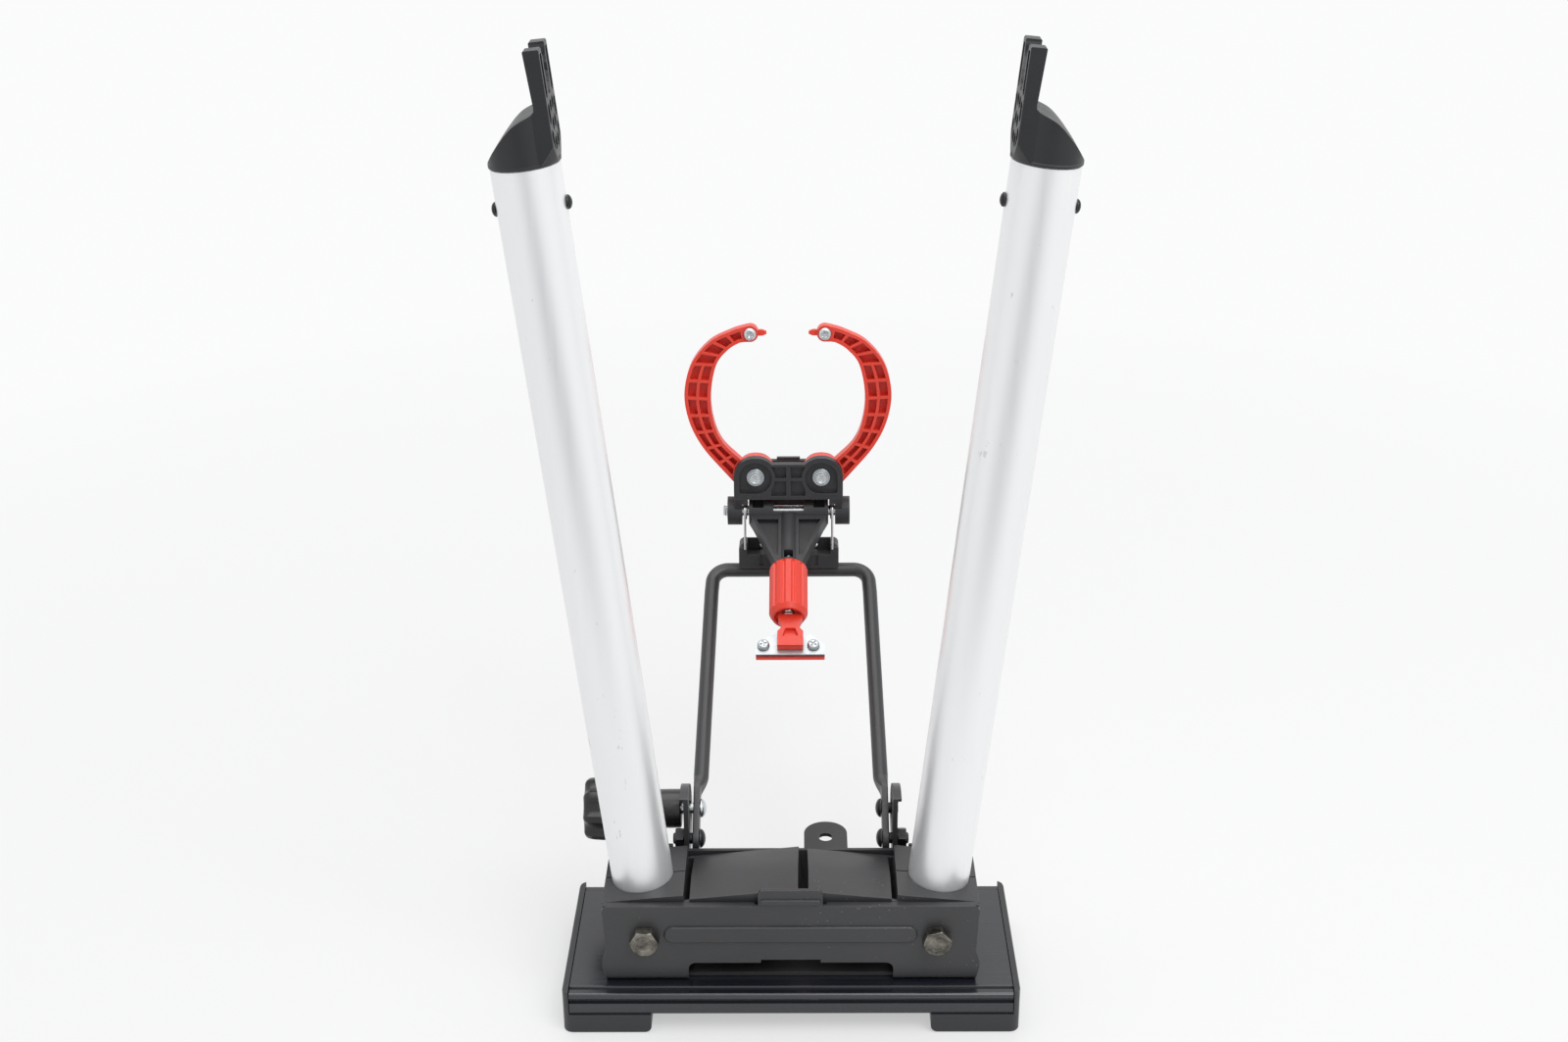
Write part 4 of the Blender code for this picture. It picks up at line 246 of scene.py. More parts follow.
finishValues = {
    # Black powder coat with fine orange peel, its edges rubbed here and there, and pale specks
    "paintedSteel": Values(cloud=(9, 5, 0.65), cloudRange=(0.35, 0.75),
                           tones=((0.034, 0.035, 0.037), (0.047, 0.048, 0.051)),
                           gloss=(40, 4, 0.6), roughness=(0.3, 0.44), grain=(900, 2, 0.5), depth=0.05,
                           rubbed=(0.10, 0.102, 0.108), rubbedWhere=(0.35, 0.6, 60, 4, 0.6),
                           speck=(0.30, 0.28, 0.25), speckSize=0.10, speckScale=330,
                           speckWhere=(0.56, 0.66, 12, 2, 0.5)),
    # Black anodised extrusion: fine lines along its length, a few bright scratches
    "anodised": Values(cloud=(7, 4, 0.6), tones=((0.008, 0.010, 0.014), (0.016, 0.018, 0.025)),
                       gloss=(300, 3, 0.6, (0.03, 1, 1)), roughness=(0.18, 0.32), grain=(300, 3, 0.6, (0.03, 1, 1)),
                       depth=0.02, scratch=(0.16, 0.17, 0.18), scratchLines=(0.72, 0.76, 160, 2, 0.5, (0.25, 1, 1.6)),
                       scratchWhere=(0.5, 0.62, 14, 2, 0.5), settings={"Specular_IOR_Level": 0.8}),
    "capPlastic": Values(tones=((0.026, 0.027, 0.030),), edge=(0.07, 0.072, 0.08), gloss=(60, 4, 0.6),
                         roughness=(0.36, 0.52), grain=(1400, 2, 0.6), depth=0.05),
    # Satin anodised tube: fine long lines, soft cloudiness and a few scuffs
    "aluminium": Values(cloud=(14, 3, 0.6, (1, 1, 0.25)), cloudRange=(0.35, 0.7),
                        tones=((0.91, 0.925, 0.94), (0.97, 0.972, 0.975)),
                        gloss=(420, 4, 0.6, (1, 1, 0.015)), roughness=(0.3, 0.42), grain=(420, 4, 0.6, (1, 1, 0.015)),
                        depth=0.01, lined=(0.94, 0.948, 0.955), linedRange=(0.3, 0.7), scuff=(0.6, 0.61, 0.62),
                        scuffSpots=(0.68, 0.74, 260, 3, 0.6, (1, 1, 0.4)), scuffWhere=(0.52, 0.62, 16, 2, 0.5),
                        settings={"Metallic": 0.62}),
    # Fibre-filled nylon: matt, slightly grey, with a fine grain
    "mouldedBlack": Values(cloud=(55, 5, 0.6), tones=((0.017, 0.0175, 0.0195), (0.030, 0.031, 0.034)),
                           edge=(0.07, 0.072, 0.078), gloss=(120, 4, 0.6), roughness=(0.42, 0.6),
                           grain=(1500, 3, 0.6), depth=0.06),
    # The dropout caps: the same nylon, scuffed pale where axles have rubbed the slot
    "wornBlack": Values(cloud=(55, 5, 0.6), tones=((0.011, 0.0115, 0.0135), (0.02, 0.021, 0.024)),
                        edge=(0.10, 0.103, 0.11), gloss=(120, 4, 0.6), roughness=(0.36, 0.5),
                        grain=(1500, 3, 0.6), depth=0.06, slotWall=(5.45, 5.15), slotLow=(417.5, 421.5),
                        slotHigh=(434.5, 429.5), scuff=(0.20, 0.205, 0.21),
                        scuffSpots=(0.34, 0.58, 150, 4, 0.6)),
    "knobBlack": Values(cloud=(30, 4, 0.6), tones=((0.010, 0.010, 0.011), (0.018, 0.018, 0.020)),
                        gloss=(90, 5, 0.65), roughness=(0.2, 0.34), grain=(350, 2, 0.5), depth=0.03),
    # Red nylon with a slight glow in thin walls
    "mouldedRed": Values(cloud=(40, 4, 0.6), tones=((0.78, 0.046, 0.024), (0.87, 0.062, 0.034)),
                         edge=(0.86, 0.12, 0.08), gloss=(110, 4, 0.6), roughness=(0.32, 0.46),
                         grain=(1300, 2, 0.5), depth=0.04,
                         settings={"Subsurface_Weight": 0.10, "Subsurface_Radius": (0.004, 0.001, 0.0008),
                                   "Subsurface_Scale": 0.5}),
    # Olive zinc, stained in a dark mottle, lighter along its edges
    "boltPlated": Values(cloud=(160, 5, 0.65), cloudRange=(0.35, 0.65),
                         tones=((0.07, 0.066, 0.058), (0.27, 0.255, 0.22)),
                         edge=(0.42, 0.405, 0.36), gloss=(260, 4, 0.6), roughness=(0.34, 0.58),
                         grain=(160, 5, 0.65), depth=0.05, settings={"Metallic": 1.0}),
    "screwBlack": Values(tones=((0.022, 0.023, 0.026),), edge=(0.12, 0.12, 0.13), gloss=(200, 4, 0.6),
                         roughness=(0.24, 0.4), grain=(700, 2, 0.5), depth=0.02, settings={"Metallic": 0.6}),
    # Bright zinc plate, faintly blue, with a soft mottle
    "zinc": Values(cloud=(180, 5, 0.65), tones=((0.50, 0.54, 0.57), (0.72, 0.735, 0.735)),
                   edge=(0.36, 0.37, 0.39), gloss=(320, 4, 0.6), roughness=(0.18, 0.34),
                   grain=(180, 5, 0.65), depth=0.004, settings={"Metallic": 1.0}),
    # Duller zinc plate on pressed sheet
    "zincSheet": Values(cloud=(120, 5, 0.65), tones=((0.39, 0.42, 0.44), (0.49, 0.51, 0.52)),
                        edge=(0.6, 0.62, 0.63), gloss=(320, 4, 0.6), roughness=(0.38, 0.5),
                        grain=(120, 5, 0.65), depth=0.004, settings={"Metallic": 1.0}),
    "springWire": Values(cloud=(220, 4, 0.6), tones=((0.42, 0.42, 0.43), (0.66, 0.66, 0.66)), gloss=(400, 3, 0.5),
                         roughness=(0.22, 0.38), grain=(900, 2, 0.5), depth=0.01, settings={"Metallic": 1.0}),
}


def paintMarks(f, tone, v):
    tone = f.blend(f.both(f.edges(), f.patches(*v.rubbedWhere)), tone, v.rubbed)
    cells = f.node("ShaderNodeTexVoronoi", {"Vector": f.place, "Scale": v.speckScale}).outputs["Distance"]
    grains = f.both(f.spread(cells, v.speckSize, v.speckSize * 0.6), f.patches(*v.speckWhere))
    return f.blend(grains, tone, v.speck)


def anodisedMarks(f, tone, v):
    return f.blend(f.both(f.patches(*v.scratchLines), f.patches(*v.scratchWhere)), tone, v.scratch)


def tubeMarks(f, tone, v):
    scuff = f.both(f.patches(*v.scuffSpots), f.patches(*v.scuffWhere))
    return f.blend(scuff, f.blend(f.patches(*v.linedRange, *v.gloss), tone, v.lined), v.scuff)


def axleMarks(f, tone, v):
    # The caps' own map says how far across and along the tube a point is, in tenths of a metre
    spot = f.node("ShaderNodeUVMap", uv_map="spot").outputs[0]
    across, along, _ = f.node("ShaderNodeSeparateXYZ", {0: spot}).outputs
    marks = [f.spread(f.calc("ABSOLUTE", across), *[d / 100 for d in v.slotWall])]
    marks += [f.spread(along, *[d / 100 for d in ends]) for ends in (v.slotLow, v.slotHigh)]
    return f.blend(f.both(*marks, f.patches(*v.scuffSpots)), tone, v.scuff)


finishMarks = {"paintedSteel": paintMarks, "anodised": anodisedMarks, "aluminium": tubeMarks, "wornBlack": axleMarks}


def madeFinish(name, v):
    f = Finish(name, **v.get("settings", {}))
    tone = v.tones[0]
    if "cloud" in v:
        cloud = f.noise(*v.cloud)
        tone = f.blend(f.spread(cloud, *v.cloudRange) if "cloudRange" in v else cloud, *v.tones)
    if "edge" in v:
        tone = f.blend(f.edges(), tone, v.edge)
    if name in finishMarks:
        tone = finishMarks[name](f, tone, v)
    f.feed("Base Color", tone)
    f.feed("Roughness", f.spread(f.noise(*v.gloss), 0.25, 0.75, *v.roughness))
    bump = f.node("ShaderNodeBump", {"Height": f.noise(*v.grain), "Strength": 1.0, "Distance": mm(v.depth)})
    f.feed("Normal", bump.outputs[0])
    return f.material


finishes = {name: madeFinish(name, v) for name, v in finishValues.items()}
print("finishes made:", len(finishes))

# The record's slot of each finish, and the parts of node names that it goes by
wornBy = {
    "paintedSteel": ("painted_black", "housing hinge_lug arm_frame bracket socket"),
    "anodised": ("anodised_black", "base_plate"),
    "capPlastic": ("cap_black", "end_cap"),
    "aluminium": ("tube_aluminium", "tube"),
    "mouldedBlack": ("moulded_black", "saddle head lever"),
    "wornBlack": ("moulded_black", "dropout_cap"),
    "knobBlack": ("knob_black", "clamp_knob"),
    "mouldedRed": ("moulded_red", "claw nib thumbwheel gauge_fork gauge_pad"),
    "boltPlated": ("bolt_plated", "pivot_bolt pivot_nut"),
    "screwBlack": ("screw_black", "arm_pivot_ arm_stop_pin cap_screw"),
    "zinc": ("zinc", "clamp_bolt pivot_pin pin_nut claw_screw nib_screw adjusting_screw"),
    "zincSheet": ("zinc", "gauge_plate gauge_screw"),
    "springWire": ("spring_wire", "spring"),
}


def finishOf(node):
    # The finish with the longest of the names that the node's name holds
    fits = [(len(part), look) for look, (_, parts) in wornBy.items() for part in parts.split() if part in node]
    look = max(fits)[1]
    return look, wornBy[look][0]


def evaluated(mesh, *steps):
    # The mesh after modifiers, each given as its kind and settings
    work = linked("work", mesh)
    for kind, settings in steps:
        step = work.modifiers.new("step", kind)
        for key, value in settings.items():
            if hasattr(step, key):
                setattr(step, key, value)
            else:
                step[key] = value
    graph = bpy.context.evaluated_depsgraph_get()
    done = bpy.data.meshes.new_from_object(work.evaluated_get(graph))
    bpy.data.objects.remove(work, do_unlink=True)
    return done


def combined(mesh, operation, others):
    tools = [linked("tool", other) for other in others]
    steps = [("BOOLEAN", {"operation": operation, "solver": "EXACT", "object": tool}) for tool in tools]
    done = evaluated(mesh, *steps)
    for tool in tools:
        bpy.data.objects.remove(tool, do_unlink=True)
    return done


def bevelled(mesh, width, segments, angle):
    return evaluated(mesh, ("BEVEL", {"width": mm(width), "segments": segments, "limit_method": "ANGLE",
                                      "angle_limit": math.radians(angle)}))


def smoothed(mesh, sharpAngle=34):
    # Smooth shading that keeps flat faces flat and sharp edges sharp
    mesh.shade_smooth()
    mesh.set_sharp_from_angle(angle=math.radians(sharpAngle))
    return evaluated(mesh, ("WEIGHTED_NORMAL", {"keep_sharp": True, "weight": 60}))


made = set()


def newPiece(node, mesh):
    # A finished mesh that stands for a node, rides with its body and has its finish
    piece = linked(node + "_skin", mesh)
    look, slotName = finishOf(node)
    mesh.materials.clear()
    mesh.materials.append(finishes[look])
    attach(piece, nodes[node]["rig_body"])
    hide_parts(node)
    made.add(node)


# Geometry Nodes: a tree for turned shapes and one for wires

class Graph(Nodes):
    def __init__(self, name, inputs):
        super().__init__(bpy.data.node_groups.new(name, "GeometryNodeTree"))
        sockets = self.tree.interface
        sockets.new_socket("Geometry", in_out="OUTPUT", socket_type="NodeSocketGeometry")
        sockets.new_socket("Geometry", in_out="INPUT", socket_type="NodeSocketGeometry")
        for label, value in {**inputs, "Material": None}.items():
            kind = "Material" if value is None else "Int" if isinstance(value, int) else "Float"
            socket = sockets.new_socket(label, in_out="INPUT", socket_type="NodeSocket" + kind)
            if value is not None:
                socket.default_value = value
        self.given = self.node("NodeGroupInput").outputs

    def folded(self, value, step):
        # The distance from the middle of the step that the value is in
        return self.calc("SUBTRACT", self.calc("FLOORED_MODULO", value, step), self.calc("MULTIPLY", step, 0.5))

    def close(self, geometry):
        real = self.node("GeometryNodeRealizeInstances", {0: geometry}).outputs[0]
        worn = self.node("GeometryNodeSetMaterial", {"Geometry": real, "Material": self.given["Material"]})
        self.node("NodeGroupOutput", {0: worn.outputs[0]})
        return self.tree


plain, facet, flute, cross, thread = range(5)  # what a ring of a turned shape is cut to


def turnedTree():
    # Turns a profile about Z. Each of its points says if its ring is round, cut to flats,
    # fluted, cut to a cross or threaded.
    g = Graph("turned", {"Sides": 64, "Facets": 6, "Half Across": 0.001, "Flutes": 12,
                         "Flute Depth": 0.001, "Flute Half Width": 0.0015,
                         "Thread Pitch": 0.001, "Thread Depth": 0.0002})
    calc = g.calc
    profile, sides, half = g.given["Geometry"], g.given["Sides"], g.given["Half Across"]
    count = g.node("GeometryNodeAttributeDomainSize", {"Geometry": profile}, component="MESH")
    rows = count.outputs["Point Count"]
    grid = g.node("GeometryNodeMeshGrid", {"Vertices X": calc("ADD", sides, 1.0), "Vertices Y": rows})
    index = g.node("GeometryNodeInputIndex").outputs[0]
    row = calc("MODULO", index, rows)
    column = calc("FLOOR", calc("DIVIDE", index, rows))

    def sampled(value, kind):
        links = {"Geometry": profile, "Value": value, "Index": row}
        return g.node("GeometryNodeSampleIndex", links, data_type=kind).outputs[0]

    spot = sampled(g.node("GeometryNodeInputPosition").outputs[0], "FLOAT_VECTOR")
    named = g.node("GeometryNodeInputNamedAttribute", {"Name": "role"}, data_type="FLOAT")
    role = sampled(named.outputs[0], "FLOAT")
    radius, _, height = g.node("ShaderNodeSeparateXYZ", {0: spot}).outputs
    angle = calc("DIVIDE", calc("MULTIPLY", column, math.tau), sides)

    flat = calc("COSINE", g.folded(angle, calc("DIVIDE", math.tau, g.given["Facets"])))
    flats = calc("MINIMUM", radius, calc("DIVIDE", half, flat))
    quarter = g.folded(calc("ADD", angle, math.pi / 4), math.pi / 2)
    aside = calc("MAXIMUM", calc("ABSOLUTE", calc("SINE", quarter)), 0.001)
    crossed = calc("MINIMUM", radius, calc("DIVIDE", half, aside))
    offset = g.folded(angle, calc("DIVIDE", math.tau, g.given["Flutes"]))
    share = calc("DIVIDE", calc("MULTIPLY", offset, radius), g.given["Flute Half Width"])
    room = calc("MAXIMUM", calc("SUBTRACT", 1.0, calc("MULTIPLY", share, share)), 0.0)
    scoop = calc("MULTIPLY", calc("POWER", room, 0.7), g.given["Flute Depth"])
    climb = calc("SUBTRACT", calc("DIVIDE", height, g.given["Thread Pitch"]), calc("DIVIDE", angle, math.tau))
    wave = calc("MULTIPLY", calc("ABSOLUTE", g.folded(climb, 1.0)), 2.0)
    cutIn = calc("MULTIPLY", wave, g.given["Thread Depth"])
    final = radius
    for number, shape in ((facet, flats), (flute, calc("SUBTRACT", radius, scoop)),
                          (cross, crossed), (thread, calc("SUBTRACT", radius, cutIn))):
        chosen = calc("COMPARE", role, float(number), 0.5)
        final = calc("ADD", final, calc("MULTIPLY", chosen, calc("SUBTRACT", shape, radius)))
    point = g.node("ShaderNodeCombineXYZ", {0: calc("MULTIPLY", final, calc("COSINE", angle)),
                                            1: calc("MULTIPLY", final, calc("SINE", angle)), 2: height})
    moved = g.node("GeometryNodeSetPosition", {"Geometry": grid.outputs[0], "Position": point.outputs[0]})
    merged = g.node("GeometryNodeMergeByDistance", {"Geometry": moved.outputs[0], "Distance": 2e-6})
    return g.close(merged.outputs[0])


def wireTree():
    # A round wire along the line it is given
    g = Graph("wire", {"Sides": 20, "Radius": 0.001})
    line = g.node("GeometryNodeMeshToCurve", {0: g.given["Geometry"]}).outputs[0]
    ring = g.node("GeometryNodeCurvePrimitiveCircle", {"Resolution": g.given["Sides"], "Radius": g.given["Radius"]})
    wire = g.node("GeometryNodeCurveToMesh", {"Curve": line, "Profile Curve": ring.outputs[0], "Fill Caps": True})
    return g.close(wire.outputs[0])


trees = {"turned": turnedTree(), "wire": wireTree()}


def lineMesh(points):
    mesh = bpy.data.meshes.new("line")
    places = [tuple(mm(c) for c in point[:3]) for point in points]
    mesh.from_pydata(places, [(i, i + 1) for i in range(len(places) - 1)], [])
    return mesh


def grown(tree, mesh, sizes, place):
    # The tree's shape from that line, moved to its place
    inputs = {s.identifier: sizes[s.name] for s in trees[tree].interface.items_tree
              if s.in_out == "INPUT" and s.name in sizes}
    bm = bmesh.new()
    bm.from_mesh(evaluated(mesh, ("NODES", {"node_group": trees[tree], **inputs})))
    bmesh.ops.transform(bm, matrix=place, verts=bm.verts)
    bmesh.ops.recalc_face_normals(bm, faces=bm.faces)
    if bm.calc_volume(signed=True) < 0:
        bmesh.ops.reverse_faces(bm, faces=bm.faces)
    return meshOf(bm)


def turnedMesh(node, profile, place, sizes):
    # profile is a list of (radius, height) or (radius, height, cut)
    line = lineMesh([(p[0], 0, p[1]) for p in profile])
    roles = line.attributes.new("role", "FLOAT", "POINT")
    roles.data.foreach_set("value", [float(p[2] if len(p) > 2 else plain) for p in profile])
    return grown("turned", line, {**sizes, "Material": finishes[finishOf(node)[0]]}, place)


def turnedPiece(node, profile, place, sharpAngle=34, **sizes):
    lengths = ("Half_Across", "Flute_Depth", "Flute_Half_Width", "Thread_Pitch", "Thread_Depth")
    values = {key.replace("_", " "): mm(value) if key in lengths else value for key, value in sizes.items()}
    newPiece(node, smoothed(turnedMesh(node, profile, place, values), sharpAngle))


def drilled(mesh, drills):
    # drills are (place, radius, half length); each runs along its place's Z
    bm = bmesh.new()
    for place, radius, reach in drills:
        bmesh.ops.create_cone(bm, cap_ends=True, segments=40, radius1=mm(radius), radius2=mm(radius),
                              depth=mm(2 * reach), matrix=place)
    return combined(mesh, "DIFFERENCE", [meshOf(bm)])


def arcPoints(x, y, radius, start, end, steps):
    angles = [math.radians(start + (end - start) * i / steps) for i in range(steps + 1)]
    return [(x + radius * math.cos(a), y + radius * math.sin(a)) for a in angles]


# Upright tubes

tube = Values(radius=15.5, wall=1.5, below=14.0, edge=0.35, sides=128, boltHole=4.3, screwHole=1.8, screwDrop=18.9)


def addTube(node, side, v):
    outer, inner, low, top, edge = v.radius, v.radius - v.wall, -v.below, stand.tubeTop, v.edge
    heights = (0, 60, 200, top - 40)
    profile = [(inner, low), (outer - edge, low), (outer, low + edge)] + [(outer, z) for z in heights]
    profile += [(outer, top - edge), (outer - edge, top), (inner, top)] + [(inner, z) for z in reversed(heights)]
    place = uprightPlace(side)
    mesh = turnedMesh(node, profile + [(inner, low)], place, {"Sides": v.sides})
    screws = shift(0, 0, top - v.screwDrop) @ turn(90, "Y")
    mesh = drilled(mesh, [(place @ turn(90, "X"), v.boltHole, 20), (place @ screws, v.screwHole, 20)])
    newPiece(node, smoothed(mesh))


for name, side in leftRight:
    addTube("upright_" + name + "_tube", side, tube)
print("tubes made")

# Fasteners


def cornerOf(half):
    return half / math.cos(math.radians(30))


def shankEnd(radius, face, end, bevel):
    # From under the head down to the shank's bevelled end
    return [(radius, face), (radius, end + bevel), (radius - bevel, end), (0, end)]


def nutProfile(half, bore, near, far, aside, rise, drop, lip):
    # A hexagon nut from near down to far, bevelled by rise and drop at its corners
    upper = [(half, near, facet), (half + aside, near - rise, facet), (cornerOf(half), near - drop, facet)]
    lower = [(radius, near + far - height, cut) for radius, height, cut in reversed(upper)]
    return [(bore, near)] + upper + lower + [(bore + lip, far), (bore, far + lip), (bore, near)]


buttonScrew = Values(head=3.3, height=2.0, key=1.08, keyDepth=1.1, shank=1.5, length=5.0, seat=15.8)


def addButtonScrew(node, side, way, v):
    head, height, key = v.head, v.height, v.key
    floor = height - v.keyDepth

    def dome(r):
        return height * math.sqrt(max(0.0, 1 - (r / head) ** 2))

    rim = cornerOf(key) + 0.12
    profile = [(0, floor - 0.15), (rim - 0.12, floor, facet), (rim - 0.12, dome(rim) - 0.06, facet)]
    profile += [(r, dome(r)) for r in (rim, 1.8, 2.2, 2.6, 2.9, 3.1, 3.22)]
    profile += [(head, 0.22), (head, 0.06), (head - 0.06, 0), (v.shank, 0), (v.shank, -v.length), (0, -v.length)]
    spot = shift(way * v.seat, 0, stand.tubeTop - tube.screwDrop) @ turn(90 * way, "Y")
    turnedPiece(node, profile, uprightPlace(side) @ spot, Sides=48, Half_Across=key)


for name, side in leftRight:
    addButtonScrew("upright_%s_cap_screw_outer" % name, side, side, buttonScrew)
    addButtonScrew("upright_%s_cap_screw_inner" % name, side, -side, buttonScrew)

pivotBolt = Values(halfAcross=6.5, face=40.3, height=5.2, shank=4.0, end=-19.8, dish=4.5, nutFace=-12.3,
                   nutEnd=-18.8, turn={"left": 0, "right": 14})


def addPivotBolt(name, side, v):
    place = shift(side * stand.tubeSpread, stand.planShift, stand.pivotHeight) @ turn(90, "X")
    half, dish = v.halfAcross, v.dish
    corner = cornerOf(half) + 0.05
    face, top = v.face, v.face + v.height
    profile = [(0, top - 0.55), (dish - 0.5, top - 0.5), (dish, top - 0.1), (dish + 0.3, top)]
    profile += [(half + r, top - drop, facet) for r, drop in ((-0.15, 0), (0.2, 0.12), (0.5, 0.3), (0.8, 0.55))]
    profile += [(corner, top - 0.8, facet), (corner, face + 0.1, facet), (corner - 0.15, face, facet)]
    profile += shankEnd(v.shank, face, v.end, 0.6)
    turnedPiece("pivot_bolt_" + name, profile, place @ turn(v.turn[name], "Z"), Sides=96, Half_Across=half)
    nut = nutProfile(half, v.shank + 0.3, v.nutFace, v.nutEnd, 0.5, 0.25, 0.7, 0.4)
    turnedPiece("pivot_nut_" + name, nut, place, Sides=96, Half_Across=half)


for name, side in leftRight:
    addPivotBolt(name, side, pivotBolt)

hingeScrew = Values(head=5.0, height=2.9, face=-47.4, shank=2.9, nutHalf=5.0, nutNear=-55.6, nutFar=-60.2,
                    hingeEnd=61.4, stopEnd=56.5, clampEnd=88.0)


def addHingeScrew(node, side, height, end, v):
    # Its domed head points to the stand's middle
    head, face = v.head, v.face
    profile = [(0, face + v.height)]
    for angle in (75, 60, 46, 34, 23, 13, 5):
        a = math.radians(angle)
        profile.append((head * math.cos(a), face + v.height * math.sin(a)))
    profile += [(head, face + 0.1), (head - 0.1, face)] + shankEnd(v.shank, face, -end, 0.5)
    turnedPiece(node, profile, armPlace @ shift(0, 0, height) @ turn(-90 * side, "Y"), Sides=48)


hingeNut = nutProfile(hingeScrew.nutHalf, hingeScrew.shank + 0.3, hingeScrew.nutNear, hingeScrew.nutFar,
                      0.4, 0.2, 0.5, 0.3)
for name, side in leftRight:
    addHingeScrew("arm_pivot_screw_" + name, side, 0, hingeScrew.hingeEnd, hingeScrew)
    turnedPiece("arm_pivot_nut_" + name, hingeNut, armPlace @ turn(-90 * side, "Y"), Sides=72,
                Half_Across=hingeScrew.nutHalf)
addHingeScrew("arm_stop_pin", 1, stand.clampRadius, hingeScrew.stopEnd, hingeScrew)
addHingeScrew("clamp_bolt", -1, stand.clampRadius, hingeScrew.clampEnd, hingeScrew)

clawScrew = Values(washer=5.0, washerFace=7.2, washerHeight=1.2, collar=4.1, head=3.2, top=12.0, key=1.6,
                   keyDepth=2.0, shank=2.5, end=-11.5)


def addClawScrew(node, side, v):
    head, top, collar, washer = v.head, v.top, v.collar, v.washer
    low, mid = v.washerFace, v.washerFace + v.washerHeight
    rim, floor = cornerOf(v.key), top - v.keyDepth
    profile = [(0, floor - 0.3), (rim, floor, facet), (rim, top - 0.25, facet), (rim + 0.25, top),
               (head - 0.5, top), (head - 0.15, top - 0.14), (head, top - 0.5), (head, mid + 0.9),
               (collar - 0.1, mid + 0.85), (collar, mid + 0.7), (collar, mid + 0.08), (collar + 0.05, mid),
               (washer - 0.2, mid), (washer, mid - 0.2), (washer, low + 0.1), (washer - 0.1, low)]
    place = headPlace @ shift(side * stand.clawSpread, 0, stand.clawRise) @ turn(90, "X")
    turnedPiece(node, profile + shankEnd(v.shank, low, v.end, 0.5), place, Sides=72, Half_Across=v.key)


panScrew = Values(arm=0.42, reach=1.9, depth=1.0, shank=1.3)
nibScrew = Values(panScrew, aside=20.5, rise=102.2, angle=90, spin=0, splay=20, face=4.3, top=6.3, head=3.5, end=-3.4)
gaugeScrew = Values(panScrew, aside=13.3, rise=95.3, angle=-90, spin=35, splay=20, face=-2.0, top=0.2, head=3.3,
                    end=-6.2)


def addPanScrew(node, holder, side, v):
    # A pan head with a cross recess, on the left or right of its holder
    head, face, top = v.head, v.face, v.top
    floor, reach = top - v.depth, min(v.reach, head * 0.62)
    profile = [(0, floor), (reach * 0.5, floor + 0.1, cross), (reach, top - 0.18, cross), (reach + 0.06, top - 0.02)]
    for share, drop in ((0.74, 0.04), (0.84, 0.16), (0.92, 0.36), (0.97, 0.6), (1.0, 0.82)):
        profile.append((head * share, top - (top - face) * drop))
    profile += [(head, face + 0.1), (head - 0.1, face)] + shankEnd(v.shank, face, v.end, 0.3)
    place = holder @ shift(side * v.aside, 0, v.rise) @ turn(v.angle, "X") @ turn(v.spin + v.splay * side, "Z")
    turnedPiece(node, profile, place, Sides=72, Half_Across=v.arm)


for name, side in leftRight:
    addClawScrew("claw_screw_" + name, side, clawScrew)
    addPanScrew("nib_screw_" + name, headPlace, side, nibScrew)
    addPanScrew("gauge_screw_" + name, leverPlace, side, gaugeScrew)

pin = Values(shaft=3.0, headHalf=4.0, headFace=31.2, headEnd=33.9, end=-36.7, nutNear=-31.2, nutFar=-34.6,
             pitch=1.0, threadDepth=0.3, threadLength=6.0)


def addPin(v):
    half, shaft, near, top = v.headHalf, v.shaft, v.headFace, v.headEnd
    start = v.end + v.threadLength
    profile = [(0, top - 0.3), (2.4, top - 0.25), (2.7, top), (half - 0.1, top, facet), (half + 0.3, top - 0.2, facet),
               (cornerOf(half), top - 0.45, facet), (cornerOf(half), near, facet), (shaft, near), (shaft, start)]
    steps = int(v.threadLength / v.pitch * 8) - 4
    profile += [(shaft, start - (i + 1) * v.pitch / 8, thread) for i in range(steps)]
    turnedPiece("pivot_pin", profile + [(shaft - 0.5, v.end), (0, v.end)], pinPlace @ turn(90, "Y"), Sides=72,
                Half_Across=half, Thread_Pitch=v.pitch, Thread_Depth=v.threadDepth)
    nut = nutProfile(half, shaft + 0.3, v.nutNear, v.nutFar, 0.3, 0.15, 0.4, 0.3)
    turnedPiece("pin_nut", nut, pinPlace @ turn(90, "Y"), Sides=72, Half_Across=half)


addPin(pin)

adjuster = Values(top=34.8, tip=2.1, radius=3.0, end=75.0, pitch=1.0, threadDepth=0.35)


def addAdjuster(v):
    top, radius, end, tip = v.top, v.radius, v.end, v.tip
    profile = [(0, end), (radius - 0.9, end), (radius - 0.35, end - 0.6)]
    steps = int((end - 1.0 - top - 1.8) / v.pitch * 7)
    profile += [(radius, end - 0.8 - i * v.pitch / 7, thread) for i in range(steps + 1)]
    profile += [(radius - 0.4, top + 1.7), (1.3, top + 1.3), (1.3, top + 1.05), (tip - 0.25, top + 0.95),
                (tip, top + 0.7), (tip - 0.05, top + 0.35), (tip - 0.5, top + 0.06), (0, top)]
    turnedPiece("adjusting_screw", profile, leverPlace, Sides=36, Thread_Pitch=v.pitch, Thread_Depth=v.threadDepth)


addAdjuster(adjuster)
print("fasteners made")

# Knob and thumbwheel

knob = Values(hub=10.25, head=17.3, inner=57.5, shoulder=92.0, outer=108.2, bore=3.2, boreEnd=88.9, dish=9.5,
              dishDepth=1.5, lobes=8, lobeDepth=2.6, lobeHalf=4.7, sides=192)


